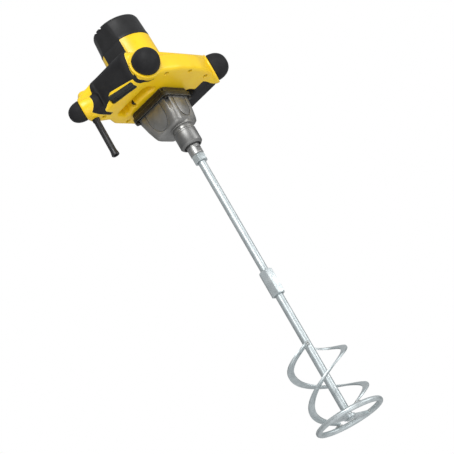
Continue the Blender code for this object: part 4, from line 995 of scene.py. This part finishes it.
def make_collar():
    """Turned collar with chamfered mouth and a fine groove near its top."""
    a, b = low("spindle_collar"), high("spindle_collar")
    radius = b.x
    profile = [(0.0163, b.z), (radius - 0.0006, b.z), (radius, b.z - 0.0006), (radius, b.z - 0.003),
               (radius - 0.0005, b.z - 0.0034), (radius - 0.0005, b.z - 0.004), (radius, b.z - 0.0044),
               (radius, a.z + 0.0042), (radius - 0.0008, a.z + 0.003), (radius - 0.0032, a.z + 0.0003),
               (radius - 0.004, a.z), (0.0156, a.z), (0.0152, a.z + 0.0004), (0.0152, a.z + 0.0065),
               (0.0128, a.z + 0.007), (0.0128, a.z + 0.012), (0.0163, a.z + 0.012)]
    collar = piece("collar_turned", lathe(profile, 128), COLLAR_STEEL)
    settle(collar, COLLAR_STEEL, "head", "spindle_collar", 35)


# ---------------------------------------------------------------- spindle and paddle
def chamfered_hex(name, node, turn, chamfer):
    """Hexagon with turned 30 degree chamfers at both ends and a bore."""
    a, b = low(node), high(node)
    corner = HEX_ACROSS_FLATS / math.sqrt(3)
    outline = [tuple(corner * radial(turn + k * math.pi / 3).to_2d()) for k in range(6)]
    hexagon = piece(name, prism(outline, a.z, b.z), ZINC)
    drop = chamfer * math.tan(math.radians(30))
    crown = [(0.0, b.z), (corner - chamfer, b.z), (corner + 0.0004, b.z - drop * 1.4),
            (corner + 0.0004, a.z + drop * 1.4), (corner - chamfer, a.z), (0.0, a.z)]
    cut(hexagon, lathe(crown, 96), "INTERSECT")
    bore = ROD_R + GAP
    hole = [(0.0, b.z + 0.001), (bore + 0.0014, b.z + 0.001), (bore, b.z - 0.0006), (bore, a.z + 0.0006),
            (bore + 0.0014, a.z - 0.001), (0.0, a.z - 0.001)]
    cut(hexagon, lathe(hole, 64))
    rounded_edges(hexagon, 0.0003, 2, 20.0)
    settle(hexagon, ZINC, "spindle_and_paddle", node, 30)


def make_spindle():
    """Hollow-ended spindle with wrench flats and a chamfered mouth."""
    a, b = low("spindle"), high("spindle")
    bore = ROD_R + GAP
    wide = b.x
    profile = [(0.0, b.z), (0.0046, b.z), (0.005, b.z - 0.0004), (0.005, 0.6022), (0.0096, 0.602),
            (0.01, 0.6016), (0.01, 0.5442), (wide, 0.543), (wide, 0.53), (wide - 0.0006, 0.5294),
            (wide - 0.0006, 0.5284), (wide, 0.5278), (wide, a.z + 0.0008), (wide - 0.0008, a.z),
            (bore + 0.0006, a.z), (bore, a.z + 0.0006), (bore, 0.542), (0.0, 0.542)]
    spindle = piece("spindle_turned", lathe(profile, 96), STEEL)
    for side in (-1, 1):
        y_low, y_high = sorted((side * WRENCH_FLAT_Y, side * 0.02))
        cut(spindle, block((-0.02, y_low, WRENCH_FLAT_Z[0]), (0.02, y_high, WRENCH_FLAT_Z[1])))
    settle(spindle, STEEL, "spindle_and_paddle", "spindle", 30)


def blade_section(progress, phase):
    """Centre angle, height and inner radius of a blade at 0 (top) to 1 (ring)."""
    end_z = RING_BAR_R * 2 + BLADE_THICKNESS / 2 + GAP
    drop = BLADE_TOP_Z - end_z
    turned_by = 2 * math.pi * drop / BLADE_PITCH * progress
    growth = math.sin(min(1.0, turned_by / (math.pi * 0.44)) * math.pi / 2)
    inner = ROD_R + GAP + (BLADE_OUTER_R - BLADE_WIDTH - ROD_R - GAP) * growth
    return phase - turned_by, BLADE_TOP_Z - drop * progress, inner


def make_blade(label, phase):
    """Flat helical ribbon with rounded edges."""
    edge = 0.0009
    half_t = BLADE_THICKNESS / 2
    corner = [(0.0, -half_t + edge), (0.3 * edge, -half_t + 0.3 * edge), (edge, -half_t)]
    corner += [(BLADE_WIDTH - edge, -half_t), (BLADE_WIDTH - 0.3 * edge, -half_t + 0.3 * edge),
               (BLADE_WIDTH, -half_t + edge)]
    section = corner + [(w, -t) for w, t in reversed(corner)]
    bm = bmesh.new()
    previous = None
    for step in range(BLADE_STEPS + 1):
        angle, z, inner = blade_section(step / BLADE_STEPS, phase)
        out = radial(angle)
        loop = [bm.verts.new((inner + w) * out + Vector((0.0, 0.0, z + t))) for w, t in section]
        if previous is None:
            bm.faces.new(loop)
        else:
            for i in range(len(loop)):
                j = (i + 1) % len(loop)
                bm.faces.new((previous[i], previous[j], loop[j], loop[i]))
        previous = loop
    bm.faces.new(previous)
    blade = piece(f"blade_{label}", mesh_from(bm), ZINC)
    settle(blade, ZINC, "spindle_and_paddle", f"helix_blade_{label}", 40)


def weld_bead(name, centre, axis, length, radius, seed):
    """Small rippled bead of weld metal along an axis."""
    bm = bmesh.new()
    bmesh.ops.create_uvsphere(bm, u_segments=24, v_segments=16, radius=1.0)
    for vert in bm.verts:
        ripple = 1.0 + 0.1 * math.sin(9.0 * vert.co.z + seed)
        ripple += 0.05 * math.sin(5.0 * vert.co.x + 3.0 * vert.co.y + seed)
        vert.co = Vector((vert.co.x * radius * ripple, vert.co.y * radius * ripple, vert.co.z * length / 2))
    bead = piece(name, aimed(mesh_from(bm), centre, axis), WELD)
    settle(bead, WELD, "spindle_and_paddle", None, 60)


def radial(angle):
    """Unit vector away from the spindle axis."""
    return Vector((math.cos(angle), math.sin(angle), 0.0))


def make_welds():
    """Beads where the blades meet the rod and the ring, and where the cross bar meets both."""
    for label, phase in (("a", BLADE_START), ("b", BLADE_START + math.pi)):
        angle, z, _ = blade_section(0.0, phase)
        across = radial(angle + math.pi / 2)
        for k, lift in ((1, 0.0017), (2, -0.0017)):
            place = radial(angle) * (ROD_R + 0.0006) + Vector((0, 0, z + lift))
            weld_bead(f"weld_{label}_rod_{k}", place, across, 0.0085, 0.0015, k)
        angle = blade_section(1.0, phase)[0]
        place = radial(angle) * (RING_CENTRE_R - 0.0015) + Vector((0, 0, 2 * RING_BAR_R + 0.0004))
        weld_bead(f"weld_{label}_ring", place, radial(angle + math.pi / 2), 0.014, 0.0016, 3.0)
    for side, side_label in ((-1, "left"), (1, "right")):
        for end, end_label in ((-1, "front"), (1, "rear")):
            place = Vector((side * (RING_CENTRE_R - RING_BAR_R - 0.0006), end * 0.0052, RING_BAR_R))
            name = f"weld_bar_{side_label}_{end_label}"
            weld_bead(name, place, Vector((0, 0, 1)), 0.0052, 0.0014, 2.0 * end)
    for quarter in range(4):
        angle = math.pi / 4 + quarter * math.pi / 2
        place = radial(angle) * (ROD_R + 0.0005) + Vector((0, 0, RING_BAR_R + 0.0027))
        weld_bead(f"weld_hub_{quarter + 1}", place, radial(angle + math.pi / 2), 0.01, 0.0013, quarter)


def make_foot():
    """Round-bar ring and flat cross bar with its hub."""
    profile = [(RING_CENTRE_R + RING_BAR_R * math.cos(a), RING_BAR_R + RING_BAR_R * math.sin(a))
               for a in [-2 * math.pi * k / 28 for k in range(28)]]
    ring = piece("ring_bar", lathe(profile, 160), ZINC)
    settle(ring, ZINC, "spindle_and_paddle", "paddle_ring", 60)
    a, b = low("cross_bar"), high("cross_bar")
    half_width = 0.0055
    bar = piece("bar_with_hub", block((a.x + 0.0008, -half_width, a.z), (b.x - 0.0008, half_width, b.z)),
            ZINC)
    hub = [(0.0, b.z), (b.y - 0.0006, b.z), (b.y, b.z - 0.0006), (b.y, a.z + 0.0006), (b.y - 0.0006, a.z),
            (0.0, a.z)]
    cut(bar, lathe(hub, 64), "UNION")
    cut(bar, lathe([(0.0, 0.02), (ROD_R + GAP, 0.02), (ROD_R + GAP, -0.02), (0.0, -0.02)], 48))
    rounded_edges(bar, 0.0006, 2, 35.0)
    settle(bar, ZINC, "spindle_and_paddle", "cross_bar", 35)


# ---------------------------------------------------------------- cord sleeve and screws
def make_sleeve():
    """Strain relief: flared lip, lengthwise flutes and a ring at its root."""
    a, b = low("cord_sleeve"), high("cord_sleeve")
    centre = middle("cord_sleeve").to_2d()
    radius = 0.0062
    bore = 0.0036
    profile = [(bore, b.z), (radius + 0.0003, b.z), (radius + 0.0003, UNDERSIDE_Z - 0.004),
            (radius - 0.0006, UNDERSIDE_Z - 0.0055), (radius - 0.0006, a.z + 0.01), (radius, a.z + 0.006),
            (radius + 0.0006, a.z + 0.0026), (radius + 0.0006, a.z + 0.0008), (radius - 0.0002, a.z),
            (bore + 0.0008, a.z), (bore, a.z + 0.0008)]
    sleeve = piece("sleeve_moulded", lathe(profile, 96, centre), SLEEVE_RUBBER)
    flutes = 10
    for k in range(flutes):
        angle = 2 * math.pi * k / flutes
        spot = (centre[0] + (radius + 0.0002) * math.cos(angle),
                centre[1] + (radius + 0.0002) * math.sin(angle))
        flute = lathe([(0.0, UNDERSIDE_Z - 0.0075), (0.001, UNDERSIDE_Z - 0.0095), (0.001, a.z + 0.012),
                (0.0, a.z + 0.01)], 16, spot)
        cut(sleeve, flute)
    settle(sleeve, SLEEVE_RUBBER, "head", "cord_sleeve", 35)


def make_well_screws():
    """Screws in the wells that hold no CAD screw."""
    spots = [(side * x, y) for x, y in SCREW_WELLS[2:] for side in (-1, 1)]
    for index, spot in enumerate(spots, start=1):
        head_z = UNDERSIDE_Z + 0.005
        profile = [(0.0, head_z + 0.0062), (0.0014, head_z + 0.0062), (0.0014, head_z + 0.003),
                (0.0027, head_z + 0.003), (0.0027, head_z + 0.0008), (0.0021, head_z), (0.0012, head_z),
                (0.001, head_z + 0.0012), (0.0, head_z + 0.0012)]
        screw = piece(f"well_screw_{index}", lathe(profile, 32, spot), SCREW_METAL)
        settle(screw, SCREW_METAL, "head", None, 30)


# ---------------------------------------------------------------- CAD nodes that keep their shape
CARRIED = {
    ZINC: ("lower_rod", "upper_rod"),
    STEEL: ("spindle_gear", "idler_shaft", "idler_pinion", "idler_gear", "armature_shaft", "armature_pinion",
            "spindle_bearing_lower", "spindle_bearing_upper", "idler_bearing_lower", "armature_bearing_lower",
            "armature_bearing_upper", "trigger_spring"),
    BLACK: ("cooling_fan", "brush_holder_left", "brush_holder_right", "switch_body"),
    RUBBER: ("spindle_seal",),
    COPPER: ("commutator", "field_coil_lower", "field_coil_upper"),
    LAMINATION: ("armature_core", "stator_core"),
    BOARD: ("speed_board",),
    CARBON: ("carbon_brush_left", "carbon_brush_right"),
    SCREW_METAL: tuple(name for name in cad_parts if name.startswith(("flange_screw", "housing_screw"))),
}


def finish_carried_nodes():
    """Give every CAD node that stays its procedural material."""
    for mat, names in CARRIED.items():
        for name in names:
            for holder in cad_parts[name].material_slots:
                holder.material = mat


# ---------------------------------------------------------------- stage, light and camera
CAMERA_YAW = math.radians(32.5)   # the camera stands this far from -X towards -Y
CAMERA_PITCH = math.radians(18.8)
CAMERA_ROLL = math.radians(30.0)
CAMERA_DISTANCE = 2.554
CAMERA_Z = -0.49
CAMERA_SIDE = -0.0176
CAMERA_LENS = 130.0
FLOOR_Z = -1.3


def make_camera():
    """Camera below the paddle's foot, looking up at the head and rolled over."""
    right = Vector((math.sin(CAMERA_YAW), -math.cos(CAMERA_YAW), 0.0))
    ahead = Vector((math.cos(CAMERA_YAW) * math.cos(CAMERA_PITCH),
            math.sin(CAMERA_YAW) * math.cos(CAMERA_PITCH), math.sin(CAMERA_PITCH)))
    up = right.cross(ahead)
    cos_roll, sin_roll = math.cos(CAMERA_ROLL), math.sin(CAMERA_ROLL)
    rolled_right = right * cos_roll - up * sin_roll
    rolled_up = right * sin_roll + up * cos_roll
    place = Vector((-math.cos(CAMERA_YAW) * CAMERA_DISTANCE, -math.sin(CAMERA_YAW) * CAMERA_DISTANCE,
            CAMERA_Z))
    place += right * CAMERA_SIDE
    data = bpy.data.cameras.new("camera")
    data.lens = CAMERA_LENS
    data.sensor_width = 36.0
    data.clip_end = 30.0
    camera = bpy.data.objects.new("camera", data)
    axes = Matrix((rolled_right, rolled_up, -ahead)).transposed().to_4x4()
    camera.matrix_world = Matrix.Translation(place) @ axes
    bpy.context.scene.collection.objects.link(camera)
    bpy.context.scene.camera = camera


def area_light(name, place, target, size, power, colour=(1.0, 1.0, 1.0)):
    """Soft square light aimed at a point."""
    data = bpy.data.lights.new(name, "AREA")
    data.size = size
    data.energy = power
    data.color = colour
    light = bpy.data.objects.new(name, data)
    light.location = place
    light.rotation_mode = "QUATERNION"
    light.rotation_quaternion = (Vector(target) - Vector(place)).to_track_quat("-Z", "Y")
    bpy.context.scene.collection.objects.link(light)


def make_stage():
    """Pale floor far below, white surroundings and soft studio light."""
    mesh = bpy.data.meshes.new("floor")
    bm = bmesh.new()
    bmesh.ops.create_grid(bm, x_segments=1, y_segments=1, size=12.0)
    bm.to_mesh(mesh)
    bm.free()
    floor = piece("floor", mesh, bpy.data.materials.new("pale_floor"))
    floor.location.z = FLOOR_Z
    paper = floor.data.materials[0]
    paper.use_nodes = True
    paper.node_tree.nodes["Principled BSDF"].inputs["Base Color"].default_value = (0.92, 0.92, 0.92, 1.0)
    paper.node_tree.nodes["Principled BSDF"].inputs["Roughness"].default_value = 0.9
    bpy.context.scene.world = make_surroundings()
    bpy.context.scene.view_settings.view_transform = "Standard"
    head = (0.0, 0.0, 0.68)
    area_light("key_left", (-2.2, -1.6, 1.9), head, 1.2, 62.0)
    area_light("fill_front", (0.8, -2.6, 0.7), head, 1.6, 26.0)
    area_light("under_fill", (-1.2, -0.8, -0.6), (0.0, 0.0, 0.4), 1.4, 7.0)


def make_surroundings():
    """White paper as seen directly; a soft bright-above, dark-below room for light and reflections."""
    world = bpy.data.worlds.new("studio")
    world.use_nodes = True
    tree = world.node_tree
    paper = tree.nodes["Background"]
    paper.inputs["Color"].default_value = (1.0, 1.0, 1.0, 1.0)
    room = tree.nodes.new("ShaderNodeBackground")
    height = tree.nodes.new("ShaderNodeSeparateXYZ")
    tree.links.new(tree.nodes.new("ShaderNodeTexCoord").outputs["Generated"], height.inputs["Vector"])
    ramp = tree.nodes.new("ShaderNodeValToRGB")
    stops = ((0.2, (0.05, 0.05, 0.05)), (0.46, (0.16, 0.16, 0.16)), (0.56, (0.52, 0.53, 0.54)),
            (0.9, (0.85, 0.86, 0.88)))
    while len(ramp.color_ramp.elements) < len(stops):
        ramp.color_ramp.elements.new(0.5)
    for element, (position, shade) in zip(ramp.color_ramp.elements, stops):
        element.position = position
        element.color = (*shade, 1.0)
    lift = tree.nodes.new("ShaderNodeMapRange")
    lift.inputs["From Min"].default_value = -1.0
    lift.inputs["From Max"].default_value = 1.0
    tree.links.new(height.outputs["Z"], lift.inputs["Value"])
    tree.links.new(lift.outputs["Result"], ramp.inputs["Fac"])
    tree.links.new(ramp.outputs["Color"], room.inputs["Color"])
    room.inputs["Strength"].default_value = 0.62
    mix = tree.nodes.new("ShaderNodeMixShader")
    tree.links.new(tree.nodes.new("ShaderNodeLightPath").outputs["Is Camera Ray"], mix.inputs["Fac"])
    tree.links.new(room.outputs["Background"], mix.inputs[1])
    tree.links.new(paper.outputs["Background"], mix.inputs[2])
    tree.links.new(mix.outputs["Shader"], tree.nodes["World Output"].inputs["Surface"])
    return world


# ---------------------------------------------------------------- assembly
make_shells()
make_bumpers()
make_trigger()
make_cap()
make_panels()
make_gear_case()
make_flange()
make_collar()
make_spindle()
chamfered_hex("coupling_hex", "coupling_sleeve", BLADE_START + 0.12, 0.0026)
chamfered_hex("nut_hex", "paddle_nut", BLADE_START - 0.02, 0.0022)
make_blade("a", BLADE_START)
make_blade("b", BLADE_START + math.pi)
make_foot()
make_welds()
make_sleeve()
make_well_screws()
finish_carried_nodes()
make_camera()
make_stage()
for helper in SCRATCH:
    bpy.data.objects.remove(helper, do_unlink=True)
